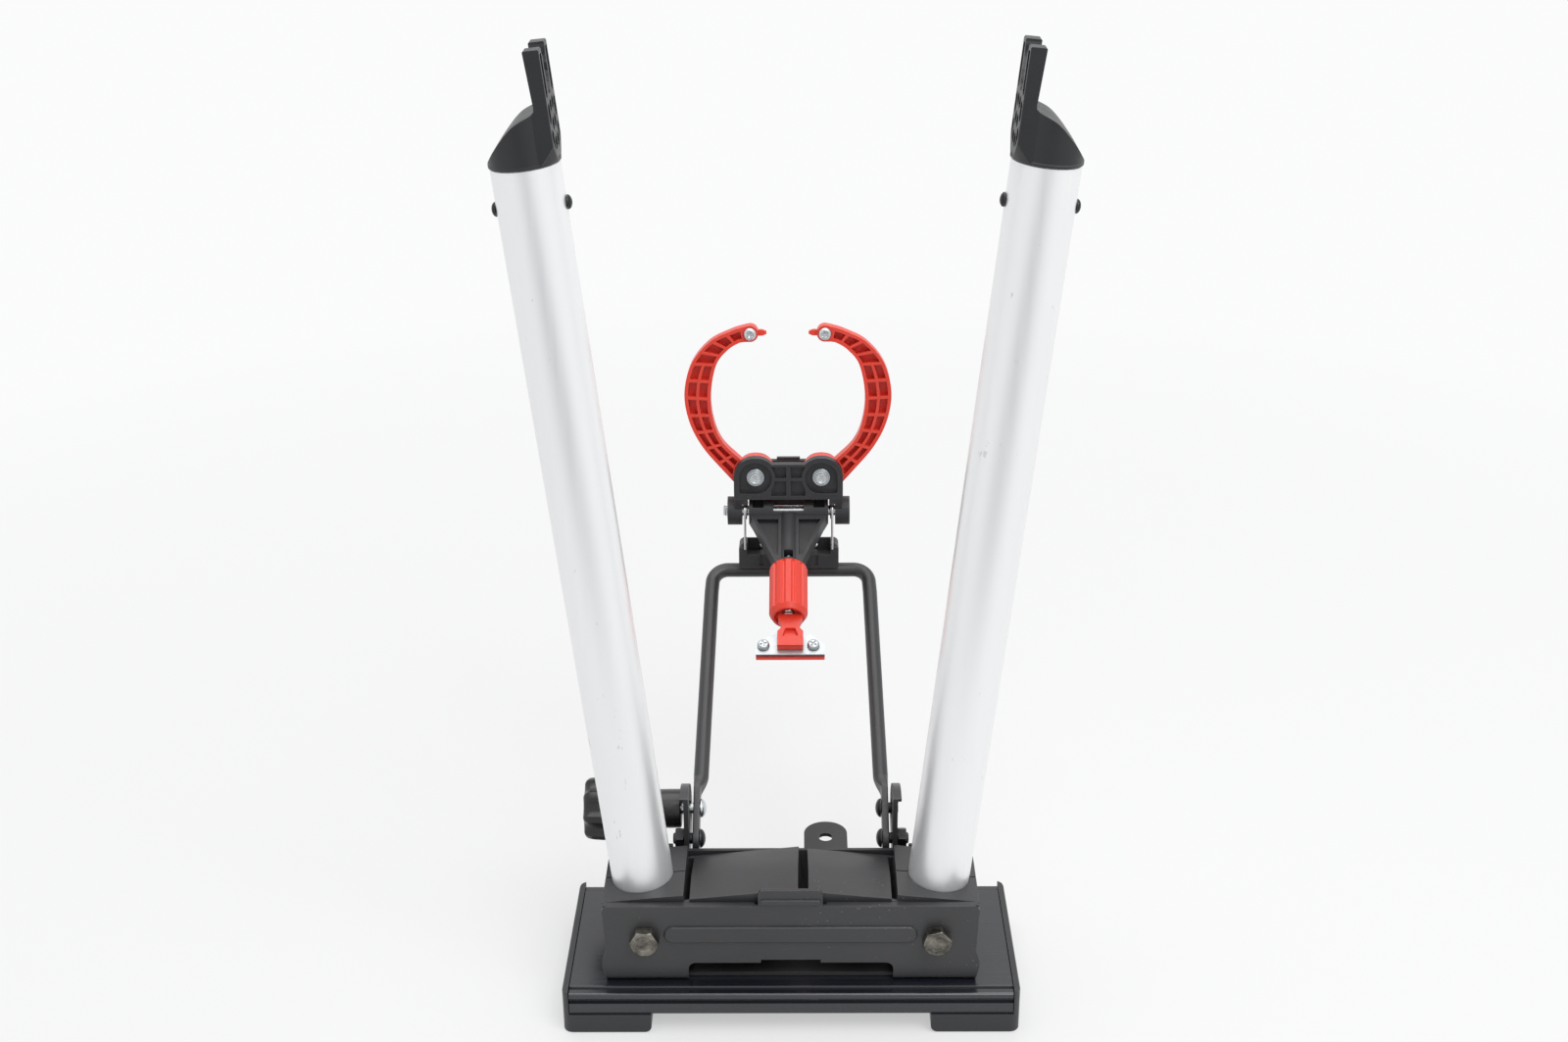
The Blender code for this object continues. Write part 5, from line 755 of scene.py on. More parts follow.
def addKnob(v):
    hub, head, inner, shoulder, outer, dish = v.hub, v.head, v.inner, v.shoulder, v.outer, v.dish
    floor = outer - v.dishDepth
    profile = [(0, v.boreEnd), (v.bore, v.boreEnd), (v.bore, inner), (hub - 0.9, inner), (hub - 0.3, inner + 0.25),
               (hub, inner + 0.9), (hub, inner + 6), (hub - 0.5, shoulder - 2.2), (hub - 0.3, shoulder - 1.0),
               (hub + 0.4, shoulder - 0.3), (hub + 1.4, shoulder)]
    profile += [(head - inset, shoulder + rise, flute)
                for inset, rise in ((2.2, 0), (1.0, 0.35), (0.3, 1.1), (0, 2.2), (0.1, 5))]
    profile += [(head - inset, outer - drop, flute)
                for inset, drop in ((0.5, 5), (0.7, 3.2), (1.1, 1.9), (1.9, 0.8), (3.2, 0.1), (4.0, 0))]
    profile += [(dish + 0.9, outer), (dish + 0.2, outer - 0.25), (dish, outer - 0.7), (dish - 0.2, floor + 0.2),
                (dish - 0.7, floor), (0, floor)]
    turnedPiece("clamp_knob", profile, armPlace @ shift(0, 0, stand.clampRadius) @ turn(-90, "Y"), 30,
                Sides=v.sides, Flutes=v.lobes, Flute_Depth=v.lobeDepth, Flute_Half_Width=v.lobeHalf)


addKnob(knob)

wheel = Values(radius=10.4, start=43.5, end=78.0, bore=3.3, recess=7.5, recessDepth=4.0, flutes=12, fluteDepth=0.9,
               fluteHalf=1.15, fluteStart=1.6, fluteEnd=3.0, sides=240)


def addWheel(v):
    radius, start, end, recess = v.radius, v.start, v.end, v.recess
    first, last = start + v.fluteStart, end - v.fluteEnd
    floor = end - v.recessDepth
    profile = [(v.bore, floor), (recess - 0.3, floor), (recess, floor + 0.3), (recess, end - 0.3), (recess + 0.3, end)]
    profile += [(radius - inset, end - drop)
                for inset, drop in ((2.0, 0), (1.6, 0.12), (1.1, 1.0), (0.5, 2.0), (0.15, 2.6))]
    profile += [(radius - 0.05, last + 0.25)]
    profile += [(radius, z, flute) for z in (last, last - 0.5, (first + last) / 2, first + 0.5, first)]
    profile += [(radius - 0.1, first - 0.25), (radius - 0.4, start + 0.8), (radius - 1.2, start + 0.25),
                (radius - 2.0, start), (v.bore, start), (v.bore, floor)]
    turnedPiece("thumbwheel", profile, leverPlace, 30, Sides=v.sides, Flutes=v.flutes, Flute_Depth=v.fluteDepth,
                Flute_Half_Width=v.fluteHalf)


addWheel(wheel)
print("knob and thumbwheel made")

# Springs round the pin, each with a leg down to the saddle

spring = Values(wire=0.65, radius=4.6, outer=25.05, pitch=1.75, legIn=0.65, legFront=10.2, legDrop=19.9, steps=48)


def addSpring(node, side, v):
    leg = v.outer - v.legIn
    front, top = v.legFront, v.radius
    points = [(leg, -front, -v.legDrop), (leg, -front, -12), (leg, -front + 0.2, -4),
              (leg, -front + 0.45, top - 3.0)]
    points += [(leg + x, -front + y, top - z) for x, y, z in (
        (0, 0.5, 2.6), (0.05, 0.85, 1.5), (0.12, 1.5, 0.75), (0.25, 2.6, 0.25), (0.45, 4.6, 0.06), (0.58, 7.4, 0.01))]
    for i in range(v.steps + 1):
        a = math.radians(90 - 360 * i / v.steps)
        points.append((v.outer - v.pitch * i / v.steps, top * math.cos(a), top * math.sin(a)))
    line = lineMesh([(side * x, y, z) for x, y, z in points])
    sizes = {"Sides": 16, "Radius": mm(v.wire), "Material": finishes["springWire"]}
    newPiece(node, smoothed(grown("wire", line, sizes, pinPlace), 50))


for name, side in leftRight:
    addSpring("spring_" + name, side, spring)
print("springs made")

# Arm: one bent rod whose ends are pressed flat and drilled

arm = Values(radius=4.0, corner=8.8, footX=47.9, topX=44.2, bladeX=49.5, bladeHalf=1.8, bladeWidth=6.5, bladeEnd=26.0,
             roundStart=35.0, bendStart=27.0, footRings=14, hole=3.2, around=40)


def armSections(v):
    # (x, z, half thickness, half width, squareness) from the foot up one side
    sections = []
    half = v.bladeWidth

    def onRod(z):
        return v.footX - (v.footX - v.topX) * (z - v.bendStart) / (stand.armLength - v.bendStart)

    for angle in (84, 72, 60, 48, 36, 24, 12):
        a = math.radians(angle)
        sections.append((v.bladeX, -half * math.sin(a), v.bladeHalf, half * math.cos(a), 8))
    for z in (0, 6, 12, 18, 23, v.bladeEnd):
        sections.append((v.bladeX, z, v.bladeHalf, half, 8))
    for i in range(1, 9):
        t = i / 8
        ease = t * t * (3 - 2 * t)
        z = v.bladeEnd + (v.roundStart - v.bladeEnd) * t
        x = v.bladeX + (onRod(z) - v.bladeX) * ease
        sections.append((x, z, v.bladeHalf + (v.radius - v.bladeHalf) * ease,
                         half + (v.radius - half) * ease, 8 - 6 * ease))
    reach = stand.armLength - v.corner
    for z in (50, 75, 100, 125, reach - 6):
        sections.append((onRod(z), z, v.radius, v.radius, 2))
    for x, z in arcPoints(v.topX - v.corner, reach, v.corner, 0, 90, 14):
        sections.append((x, z, v.radius, v.radius, 2))
    for x in (24, 12):
        sections.append((x, stand.armLength, v.radius, v.radius, 2))
    return sections


def addArm(v):
    half = armSections(v)
    path = [(-x, z, t, w, p) for x, z, t, w, p in half]
    path += [(0, stand.armLength, v.radius, v.radius, 2)] + list(reversed(half))
    bm = bmesh.new()
    rings = []
    for i, (x, z, thick, wide, square) in enumerate(path):
        before = path[max(i - 1, 0)]
        after = path[min(i + 1, len(path) - 1)]
        ahead = Vector((after[0] - before[0], 0, after[1] - before[1])).normalized()
        if not v.footRings <= i < len(path) - v.footRings:
            ahead = Vector((0, 0, 1 if i < v.footRings else -1))
        out = Vector((-ahead.z, 0, ahead.x))
        ring = []
        for k in range(v.around):
            a = math.tau * k / v.around
            c, s = math.cos(a), math.sin(a)
            reach = (abs(c) ** square + abs(s) ** square) ** (-1 / square)
            spot = Vector((x, 0, z)) + out * (thick * c * reach) + Vector((0, wide * s * reach, 0))
            ring.append(bm.verts.new(mm(spot)))
        rings.append(ring)
    for ring, following in zip(rings, rings[1:]):
        for k in range(len(ring)):
            m = (k + 1) % len(ring)
            bm.faces.new((ring[k], ring[m], following[m], following[k]))
    bm.faces.new(list(reversed(rings[0])))
    bm.faces.new(rings[-1])
    bmesh.ops.transform(bm, matrix=armPlace, verts=bm.verts)
    bmesh.ops.recalc_face_normals(bm, faces=bm.faces)
    drills = [(armPlace @ shift(side * v.bladeX, 0, height) @ turn(90, "Y"), v.hole, 8)
              for _, side in leftRight for height in (0, stand.clampRadius)]
    newPiece("arm_frame", smoothed(drilled(meshOf(bm), drills), 40))


addArm(arm)
print("arm made")

# Forms: flat outlines given a thickness, bars and blocks, joined and cut

gap = 0.3  # between touching pieces


class Form:
    # A closed mesh that other forms are added to or cut from

    def __init__(self, bm):
        bmesh.ops.recalc_face_normals(bm, faces=bm.faces)
        self.mesh = meshOf(bm)

    def changed(self, operation, forms):
        self.mesh = combined(self.mesh, operation, [form.mesh for form in forms])
        return self

    def add(self, *forms):
        return self.changed("UNION", forms)

    def cut(self, *forms):
        return self.changed("DIFFERENCE", forms)

    def keep(self, *forms):
        return self.changed("INTERSECT", forms)

    def eased(self, width, segments):
        self.mesh = bevelled(self.mesh, width, segments, 40)
        return self


def prism(outline, low, high, plane):
    # An outline in the XY, XZ or YZ plane, given a thickness from low to high
    first, second, across = {"XY": (0, 1, 2), "XZ": (0, 2, 1), "YZ": (1, 2, 0)}[plane]
    points = [p for i, p in enumerate(outline) if (Vector(p) - Vector(outline[i - 1])).length > 1e-4]
    bm = bmesh.new()
    ends = []
    for level in (low, high):
        ring = []
        for a, b in points:
            spot = [0, 0, 0]
            spot[first], spot[second], spot[across] = mm(a), mm(b), mm(level)
            ring.append(bm.verts.new(spot))
        ends.append(ring)
        bm.faces.new(ring)
    for i in range(len(points)):
        bm.faces.new((ends[0][i - 1], ends[0][i], ends[1][i], ends[1][i - 1]))
    return Form(bm)


def bar(radius, start, end, axis, centre=(0, 0, 0), sides=48, top=None):
    # A cylinder or cone from start to end along an axis through centre
    bm = bmesh.new()
    low, high = min(start, end), max(start, end)
    lay = {"X": turn(90, "Y"), "Y": turn(-90, "X"), "Z": turn(0, "Z")}[axis]
    bmesh.ops.create_cone(bm, cap_ends=True, segments=sides, radius1=mm(radius),
                          radius2=mm(radius if top is None else top), depth=mm(high - low),
                          matrix=shift(*centre) @ lay @ shift(0, 0, (low + high) / 2))
    return Form(bm)


def block(x, y, z):
    bm = bmesh.new()
    sides = [sorted(pair) for pair in (x, y, z)]
    middle = shift(*[(a + b) / 2 for a, b in sides])
    size = Matrix.Diagonal((*[mm(b - a) for a, b in sides], 1))
    bmesh.ops.create_cube(bm, size=1, matrix=middle @ size)
    return Form(bm)


def mirrored(points):
    return [(-point[0], *point[1:]) for point in reversed(points)]


def flip(points, side):
    return points if side > 0 else mirrored(points)


def span(side, low, high):
    return (side * low, side * high)


def slotOutline(cx, cy, length, width, steps=10):
    half = (length - width) / 2
    return (arcPoints(cx + half, cy, width / 2, -90, 90, steps)
            + arcPoints(cx - half, cy, width / 2, 90, 270, steps))


def rounded(corners, steps=6):
    # A closed outline whose corners (x, y, radius) are rounded
    points = []
    for i, corner in enumerate(corners):
        here = Vector(corner[:2])
        radius = corner[2] if len(corner) > 2 else 0
        back = Vector(corners[i - 1][:2]) - here
        ahead = Vector(corners[(i + 1) % len(corners)][:2]) - here
        angle = back.angle(ahead)
        if radius <= 0 or angle > math.radians(178):
            points.append(tuple(here))
            continue
        reach = min(radius / math.tan(angle / 2), 0.49 * back.length, 0.49 * ahead.length)
        radius = reach * math.tan(angle / 2)
        centre = here + (back.normalized() + ahead.normalized()).normalized() * (radius / math.sin(angle / 2))
        first = here + back.normalized() * reach - centre
        last = here + ahead.normalized() * reach - centre
        start = math.atan2(first.y, first.x)
        sweep = (math.atan2(last.y, last.x) - start + math.pi) % math.tau - math.pi
        for k in range(steps + 1):
            a = start + sweep * k / steps
            points.append((centre.x + radius * math.cos(a), centre.y + radius * math.sin(a)))
    return points


def splinePoint(points, t):
    # A smooth curve through the points, for t from 0 to 1
    place = min(max(t, 0.0), 1.0) * (len(points) - 1)
    i = min(int(place), len(points) - 2)
    f = place - i
    p1, p2 = Vector(points[i]), Vector(points[i + 1])
    p0 = Vector(points[i - 1]) if i > 0 else 2 * p1 - p2
    p3 = Vector(points[i + 2]) if i + 2 < len(points) else 2 * p2 - p1
    return 0.5 * (2 * p1 + (p2 - p0) * f + (2 * p0 - 5 * p1 + 4 * p2 - p3) * f * f
                  + (3 * p1 - p0 - 3 * p2 + p3) * f * f * f)


def softEdged(mesh, width, v):
    # Merged, with small round edges and clean shading
    bm = bmesh.new()
    bm.from_mesh(mesh)
    bmesh.ops.remove_doubles(bm, verts=bm.verts, dist=2e-6)
    bmesh.ops.dissolve_limit(bm, angle_limit=math.radians(v.flatAngle), verts=bm.verts, edges=bm.edges)
    return smoothed(bevelled(meshOf(bm), width, v.segments, v.sharpAngle), v.sharpAngle)


softEdges = Values(width=0.35, segments=2, sharpAngle=34, flatAngle=0.1)


def formPiece(node, form, place, width):
    mesh = softEdged(form.mesh, width, softEdges)
    mesh.transform(place)
    newPiece(node, mesh)


# Base plate and its end caps

base = Values(length=223.0, depth=95.0, top=23.1, bottom=10.7, step=1.0, nose=3.6, groove=1.8, grooveDepth=1.6,
              lineInset=6.2, rail=15.0, railThick=3.0, skin=3.2, edge=4.0, setForward=2.5, capWall=3.2, capProud=0.9,
              capOverhang=1.2, capCorner=5.0, footReach=41.5, footCorner=3.5, soft=0.25, capSoft=0.7)


def addBase(v):
    half = v.depth / 2
    nose = v.nose / 2
    top, bottom = v.top, v.bottom
    noseTop = top - v.step
    grooveTop = noseTop - v.nose
    grooveLow = grooveTop - v.groove
    line = half - v.lineInset
    rail, railOut = v.rail, v.rail + v.railThick
    ceiling = top - v.skin
    inside = half - v.edge
    right = [(line, top), (line + 0.35, top - 0.15), (line + 0.8, noseTop - 0.5), (line + 1.5, noseTop - 0.5),
             (line + 1.8, noseTop)]
    right += arcPoints(half - nose, noseTop - nose, nose, 90, -90, 12)
    right += [(half - v.grooveDepth, grooveTop), (half - v.grooveDepth, grooveLow), (half, grooveLow),
              (half, bottom), (inside, bottom), (inside, ceiling), (railOut, ceiling), (railOut, bottom + 2),
              (rail, bottom + 2), (rail, ceiling)]
    place = shift(0, stand.planShift - v.setForward, 0)
    plate = prism(right + mirrored(right), -v.length / 2, v.length / 2, "YZ")
    formPiece("base_plate", plate, place, v.soft)
    for name, side in leftRight:
        inner = v.length / 2 + gap
        outer = inner + v.capWall
        foot = outer - v.footReach - v.capWall
        capTop = top + v.capProud
        capHalf = half + v.capOverhang
        section = rounded([(outer, 0), (outer, capTop, 1.2), (inner, capTop), (inner, bottom - gap),
                           (foot, bottom - gap), (foot, 0, v.footCorner)])
        cap = prism(flip(section, side), -capHalf, capHalf, "XZ")
        plan = rounded([(foot - 1, -capHalf), (outer, -capHalf, v.capCorner), (outer, capHalf, v.capCorner),
                        (foot - 1, capHalf)])
        cap.keep(prism(flip(plan, side), -1, capTop + 1, "XY"))
        formPiece("end_cap_" + name, cap, place, v.capSoft)


addBase(base)

# Housing: a folded channel with a raised bead, a tongue at its front and a hanging tab behind

house = Values(half=94.0, front=-40.0, back=12.0, low=23.4, top=67.9, sheet=2.0, bend=3.0, waist=1.2, flare=0.8,
               tongue=32.0, tongueHeight=9.4, tongueBead=30.4, tongueBeadHeight=3.2, bead=127.0, beadHeight=9.6,
               beadDepth=1.5, beadRise=28.0, flange=4.0, notch=2.0, window=103.0, windowHeight=10.8, windowRound=3.8,
               windowStep=30.0, stepHeight=1.8, tabCentre=18.2, tabWidth=22.6, tabReach=25.0, tabRound=11.2,
               tabHole=3.7, tabHoleReach=10.3, boltHole=4.3, tongueRound=3, beadSoft=1.4, ridgeSoft=0.9,
               ridgeProud=1.2, soft=0.45)


def addHousing(v):
    half, front, back, low, top, sheet = v.half, v.front, v.back, v.low, v.top, v.sheet
    inner = v.bend - sheet
    tongueTop = top + v.tongueHeight
    section = rounded([(front, tongueTop), (front, low, v.bend), (back, low, v.bend), (back, top),
                       (back - sheet, top), (back - sheet, low + sheet, inner),
                       (front + sheet, low + sheet, inner), (front + sheet, tongueTop)])
    channel = prism(section, -half - 1, half + 1, "YZ")
    waist, flare = half - v.waist, half + v.flare
    mid = low + (top - low) * 0.4
    side = [(half, top, 3), (waist, mid), (flare, mid - 6, 2), (flare, mid - 10, 2), (waist, low - 1)]
    edge = v.tongue / 2
    tongue = rounded([(edge, top), (edge, tongueTop, v.tongueRound), (-edge, tongueTop, v.tongueRound), (-edge, top)])
    face = rounded(list(reversed(side)) + tongue + [(-a, *b) for a, *b in side])
    channel.keep(prism(face, front - 2, back + 1, "XZ"))
    lips = [block(span(way, edge + v.notch, half - 0.6), (front + sheet / 2, front + v.flange),
                  (top - sheet, top - 0.01)) for _, way in leftRight]
    left, right = v.tabCentre - v.tabWidth / 2, v.tabCentre + v.tabWidth / 2
    tabRoot, tabEnd = back - sheet / 2, back + v.tabReach
    tab = rounded([(left, tabRoot), (right, tabRoot), (right, tabEnd, v.tabRound), (left, tabEnd, v.tabRound)], 12)
    beadHeight = low + v.beadRise
    bead = prism(slotOutline(0, beadHeight, v.bead, v.beadHeight), front - v.beadDepth,
                 front + sheet - 0.1, "XZ").eased(v.beadSoft, 5)
    ridgeHeight = top + v.tongueBeadHeight / 2 + 1.0
    ridge = prism(slotOutline(0, ridgeHeight, v.tongueBead, v.tongueBeadHeight), front - v.ridgeProud,
                  front + v.ridgeProud, "XZ").eased(v.ridgeSoft, 4)
    channel.add(*lips, prism(tab, top - sheet, top - 0.01, "XY"), bead, ridge)
    windowTop = low + v.windowHeight
    step = v.windowStep / 2
    wide = v.window / 2
    window = [(wide, low - 2), (wide, windowTop, v.windowRound), (step, windowTop), (step, windowTop + v.stepHeight)]
    window = rounded(mirrored(window)[-1:] + window + mirrored(window)[:-1])
    channel.cut(prism(slotOutline(0, beadHeight, v.bead - 3, v.beadHeight - 3),
                      front + sheet - v.beadDepth, front + sheet + 1, "XZ"),
                prism(window, front - 2, front + v.flange, "XZ"),
                bar(v.tabHole, top - sheet - 1, top + 1, "Z", (v.tabCentre, back + v.tabHoleReach, 0)))
    channel.cut(*[bar(v.boltHole, front - 3, back + 3, "Y", (x, 0, stand.pivotHeight))
                  for x in (-stand.tubeSpread, stand.tubeSpread)])
    formPiece("housing", channel, shift(0, stand.planShift, 0), v.soft)


addHousing(house)

# Dropout caps: domed outside, pocketed inside, with two prongs round the axle slot

cap = Values(rim=1.1, dome=23.0, height=49.2, plug=26.4, plugWall=3.0, prong=7.1, root=6.1, width=27.0, slot=10.0,
             slotDepth=21.0, pocket=4.0, web=1.3, rimWidth=1.3, flare=0.55, outset=0.4, point=1.8, mouthFlare=1.5,
             soft=0.35)


def capPockets(way, rise, v):
    # Rows of pointed pockets on the inner face, drawn as distances from its middle and above its base
    inner, web, point = tube.radius, v.web, v.point
    width = (v.width / 2 - v.rimWidth - 1.5 * web) / 2
    cells = []

    def pocket(shape, depth, column):
        outline = [(column * a, stand.tubeTop + gap + b) for a, b in shape]
        cells.append(prism(outline, way * (inner - depth), way * (inner + 2), "YZ"))

    def pointed(near, far, low, high):
        middle = (near + far) / 2
        return [(near, low + point), (middle, low), (far, low + point), (far, high - point), (middle, high),
                (near, high - point)]

    for column in (-1, 1):
        near, far = web / 2, web / 2 + width
        for low, high in ((0.155, 0.40), (0.453, 0.685), (0.738, 0.957)):
            pocket(pointed(near, far, rise * low, rise * high), v.pocket, column)
        near, far = far + web, far + web + width
        middle = (near + far) / 2
        pocket([(near, rise * 0.23), (near + 1.4, rise * 0.18), (far, rise * 0.40), (far, rise * 0.53 - point),
                (middle, rise * 0.53), (near, rise * 0.53 - point)], v.pocket, column)
        pocket(pointed(near, far, rise * 0.58, rise * 0.93), v.pocket, column)
        pocket([(near, rise * 0.98 + point), (middle, rise * 0.98), (far, rise * 0.98 + point),
                (far, v.height - 2.2), (near, v.height - 2.2)], v.pocket - 1, column)
    return cells


def addDropoutCap(name, side, v):
    way = -side
    inner = tube.radius
    radius = inner + v.outset
    base = stand.tubeTop + gap
    top = base + v.height
    prong, root = inner - v.prong, inner - v.root
    curve = [(-radius - 0.4, v.rim), (-radius * 0.62, v.dome * 0.42), (-1.0, v.dome * 0.8),
             (root - 1.5, v.dome - 0.4)]
    shape = [(-radius - 0.4, base)]
    shape += [(p.x, base + p.y) for p in (splinePoint(curve, i / 20) for i in range(21))]
    shape += [(root - 0.3, base + v.dome + 0.6), (root, base + v.dome + 2.2), (prong, top - 0.5),
              (prong + 0.5, top), (inner - 0.6, top), (inner, top - 0.6), (inner, base)]
    body = prism(flip(shape, way), -radius - 1, radius + 1, "XZ")
    half = v.width / 2
    meet = math.degrees(math.asin(half / radius))
    plan = [(inner + 1, -half), (inner + 1, half)] + arcPoints(0, 0, radius, meet, 360 - meet, 64)
    edge = radius + 0.05
    body.keep(prism(flip(plan, way), base - 2, top + 2, "XY"),
              bar(edge - v.flare, base - 1, top + 2, "Z", sides=96, top=edge + v.flare * (v.height + 2)))
    plug = inner - tube.wall - gap
    body.add(bar(radius + 0.1, base, base + v.rim, "Z", sides=96),
             bar(plug, base - v.plug, base + v.rim / 2, "Z", sides=64))
    bottom = top - v.slotDepth
    mouth = v.slot / 2
    lead = [(mouth + v.mouthFlare, top + 1), (mouth + v.mouthFlare, top - 1.5), (mouth, top - 4)]
    axle = lead + arcPoints(0, bottom + mouth, mouth, 0, -180, 24) + mirrored(lead)
    body.cut(bar(plug - v.plugWall, base - v.plug - 1, base - 2, "Z"),
             bar(tube.screwHole, -30, 30, "X", (0, 0, stand.tubeTop - tube.screwDrop)),
             prism(axle, way * (prong - 8), way * (inner + 2), "YZ"))
    for cell in capPockets(way, bottom - base, v):
        body.cut(cell)
    mesh = softEdged(body.mesh, v.soft, softEdges)
    layer = mesh.uv_layers.new(name="spot")
    for loop in mesh.loops:
        spot = mesh.vertices[loop.vertex_index].co
        layer.data[loop.index].uv = (spot.y * 10, spot.z * 10)
    mesh.transform(uprightPlace(side))
    newPiece("upright_" + name + "_dropout_cap", mesh)


for name, side in leftRight:
    addDropoutCap(name, side, cap)
print("base, housing and caps made")

# Saddle: a shelf on the arm with two knuckles for the pin

knuckle = Values(inner=9.6, outer=12.6, radius=6.0, neck=4.2, bore=3.3)
saddleForm = Values(half=28.0, front=-9.0, back=7.0, skirt=3.7, top=17.8, hook=4.5, chamfer=2.2, ledge=11.4,
                    column=4.6, wall=3.0, sight=1.6, sightX=14.8, soft=0.35)


def addSaddle(v):
    grip = arm.radius + gap
    start = math.degrees(math.asin(v.skirt / grip))
    half, front, back, top = v.half, v.front, v.back, v.top
    section = [(front, v.skirt), (front, top - v.chamfer), (front + v.chamfer, top), (back - 1.5, top),
               (back, top - 1.5), (back, -v.hook), (grip, -v.hook)]
    section += arcPoints(0, 0, grip, 0, 180 - start, 24)
    body = prism(section, -half, half, "YZ")
    face = rounded([(-half - 1, -v.hook - 1), (half + 1, -v.hook - 1), (half, top + 0.5, 4.5),
                    (-half, top + 0.5, 4.5)])
    body.keep(prism(face, front - 1, back + 1, "XZ"))
    column = half - v.column
    body.cut(block((-column, column), (front - 1, back - v.wall), (v.ledge, top + 1)))
    for x in (-15.25, 15.25):
        body.cut(block((x - 1.25, x + 1.25), (front - 1, front + 1.2), (v.skirt + 1.6, v.ledge + 1)),
                 bar(v.sight, 0, back + 2, "Y", (math.copysign(v.sightX, x), 0, v.ledge + 2.2)))
    for x0, x1 in ((-24, -13), (-11.5, -1), (1, 11.5), (13, 24)):
        body.cut(block((x0, x1), (back - 2, back + 1), (-1, v.ledge - 1.6)))
    k = knuckle
    bend = math.degrees(math.acos(k.neck / k.radius))
    neck = arcPoints(0, stand.pinRise, k.radius, -bend, 180 + bend, 32)
    neck += [(-k.neck, v.ledge - 2), (k.neck, v.ledge - 2)]
    body.add(*[prism(neck, side * k.inner, side * k.outer, "YZ") for _, side in leftRight])
    body.cut(bar(k.bore, -30, 30, "X", (0, 0, stand.pinRise)))
    formPiece("saddle", body, saddlePlace, v.soft)


addSaddle(saddleForm)

# Head: a ribbed cover with two ears, and a plain plate behind the claws

headForm = Values(half=30.3, bossHalf=18.3, bossRise=21.7, arch=11.0, archRise=22.2, archIn=17.4, bottom=9.4,
                  valley=29.6, front=-9.9, inner=-4.3, pocket=3.0, floor=2.1, rim=1.3, rib=1.6, ribRise=21.0,
                  split=2.2, recess=9.2, recessWall=1.6, earInner=26.1, earOuter=34.2, earRadius=8.0, neckOuter=30.0,
                  seat=3.3, seatRadius=5.0, screwHole=2.8, backInner=4.3, backOuter=8.0, backInset=1.6, tabHalf=6.5,
                  tabTop=29.5, soft=0.3, backSoft=0.35)


def headOutline(inset, v):
    arch = v.arch - inset
    valley = v.valley - inset
    rise = math.degrees(math.asin((valley - v.archRise) / arch))
    right = [(v.half - inset, v.bottom + inset)]
    right += arcPoints(v.half - v.arch, v.archRise, arch, 0, 90, 14)
    right += arcPoints(v.archIn, v.archRise, arch, 90, 180 - rise, 12)
    return right + mirrored(right)


def roundRecess(side, v):
    # The sunk ring round a claw screw, squared out into the cover's lower outer corner
    low = v.bottom + v.floor + 1.3
    far = v.bossHalf + v.recess
    corner = rounded([(v.bossHalf, low), (far, low, 1.6), (far, v.bossRise)])[1:-1]
    ring = arcPoints(v.bossHalf, v.bossRise, v.recess, 0, 250, 48)
    return flip([(v.bossHalf, low)] + corner + ring, side)


def middlePocket(side, low, high, v):
    # One of the four pockets between the two rings
    ring = v.recess + v.recessWall
    limit = v.bossHalf - ring * 0.81
    points = []
    for i in range(13):
        b = low + (high - low) * i / 12
        lift = min(abs(b - v.bossRise), ring)
        points.append((min(v.bossHalf - math.sqrt(ring * ring - lift * lift), limit), b))
    near = v.split / 2
    return flip([(near, low)] + points + [(near, high)], side)


def addHead(v):
    front, inner, bottom = v.front, v.inner, v.bottom
    cover = prism(headOutline(0, v), front, inner, "XZ")
    ears = []
    for _, side in leftRight:
        neck = [(front + 0.5, bottom + 2), (front + 0.5, bottom - 1.6), (-7.2, 2.4), (0, 0), (6.2, 3.8),
                (2.5, bottom - 2.6), (inner - 0.1, bottom + 1.2), (inner - 0.1, bottom + 2)]
        ears += [bar(v.earRadius, side * v.earInner, side * v.earOuter, "X", sides=64),
                 prism(neck, side * (v.earInner + 0.1), side * v.neckOuter, "YZ"),
                 block(span(side, 22.7, v.earInner + 0.6), (front + 0.6, inner - 0.2), (6.3, bottom + 1))]
    cover.add(*ears)
    seat = v.earOuter - v.seat
    for _, side in leftRight:
        shapes = [roundRecess(side, v), middlePocket(side, bottom + v.floor, v.ribRise - v.rib / 2, v),
                  middlePocket(side, v.ribRise + v.rib / 2, v.valley - v.rim, v)]
        cover.cut(*[prism(shape, front - 1, front + v.pocket, "XZ") for shape in shapes],
                  bar(v.screwHole, front + 1, inner + 1, "Y", (side * v.bossHalf, 0, v.bossRise)),
                  bar(v.seatRadius, side * seat, side * (v.earOuter + 2), "X"))
    cover.cut(bar(knuckle.bore, -40, 40, "X"))
    formPiece("head_cover", cover, headPlace, v.soft)
    plate = prism(headOutline(v.backInset, v), v.backInner, v.backOuter, "XZ")
    tab = [(v.tabHalf, v.valley - 3), (v.tabHalf, v.tabTop), (-v.tabHalf, v.tabTop),
           (-v.tabHalf, v.valley - 3)]
    plate.add(prism(tab, v.backInner + 0.4, v.backOuter - 0.4, "XZ"))
    plate.cut(*[bar(v.screwHole, v.backInner - 1, v.backOuter + 1, "Y", (x, 0, v.bossRise))
                for x in (-v.bossHalf, v.bossHalf)])
    formPiece("head_back", plate, headPlace, v.backSoft)


addHead(headForm)
print("saddle and head made")

# Claws: a geared hub and a curved blade with rows of pockets, drawn as the left one

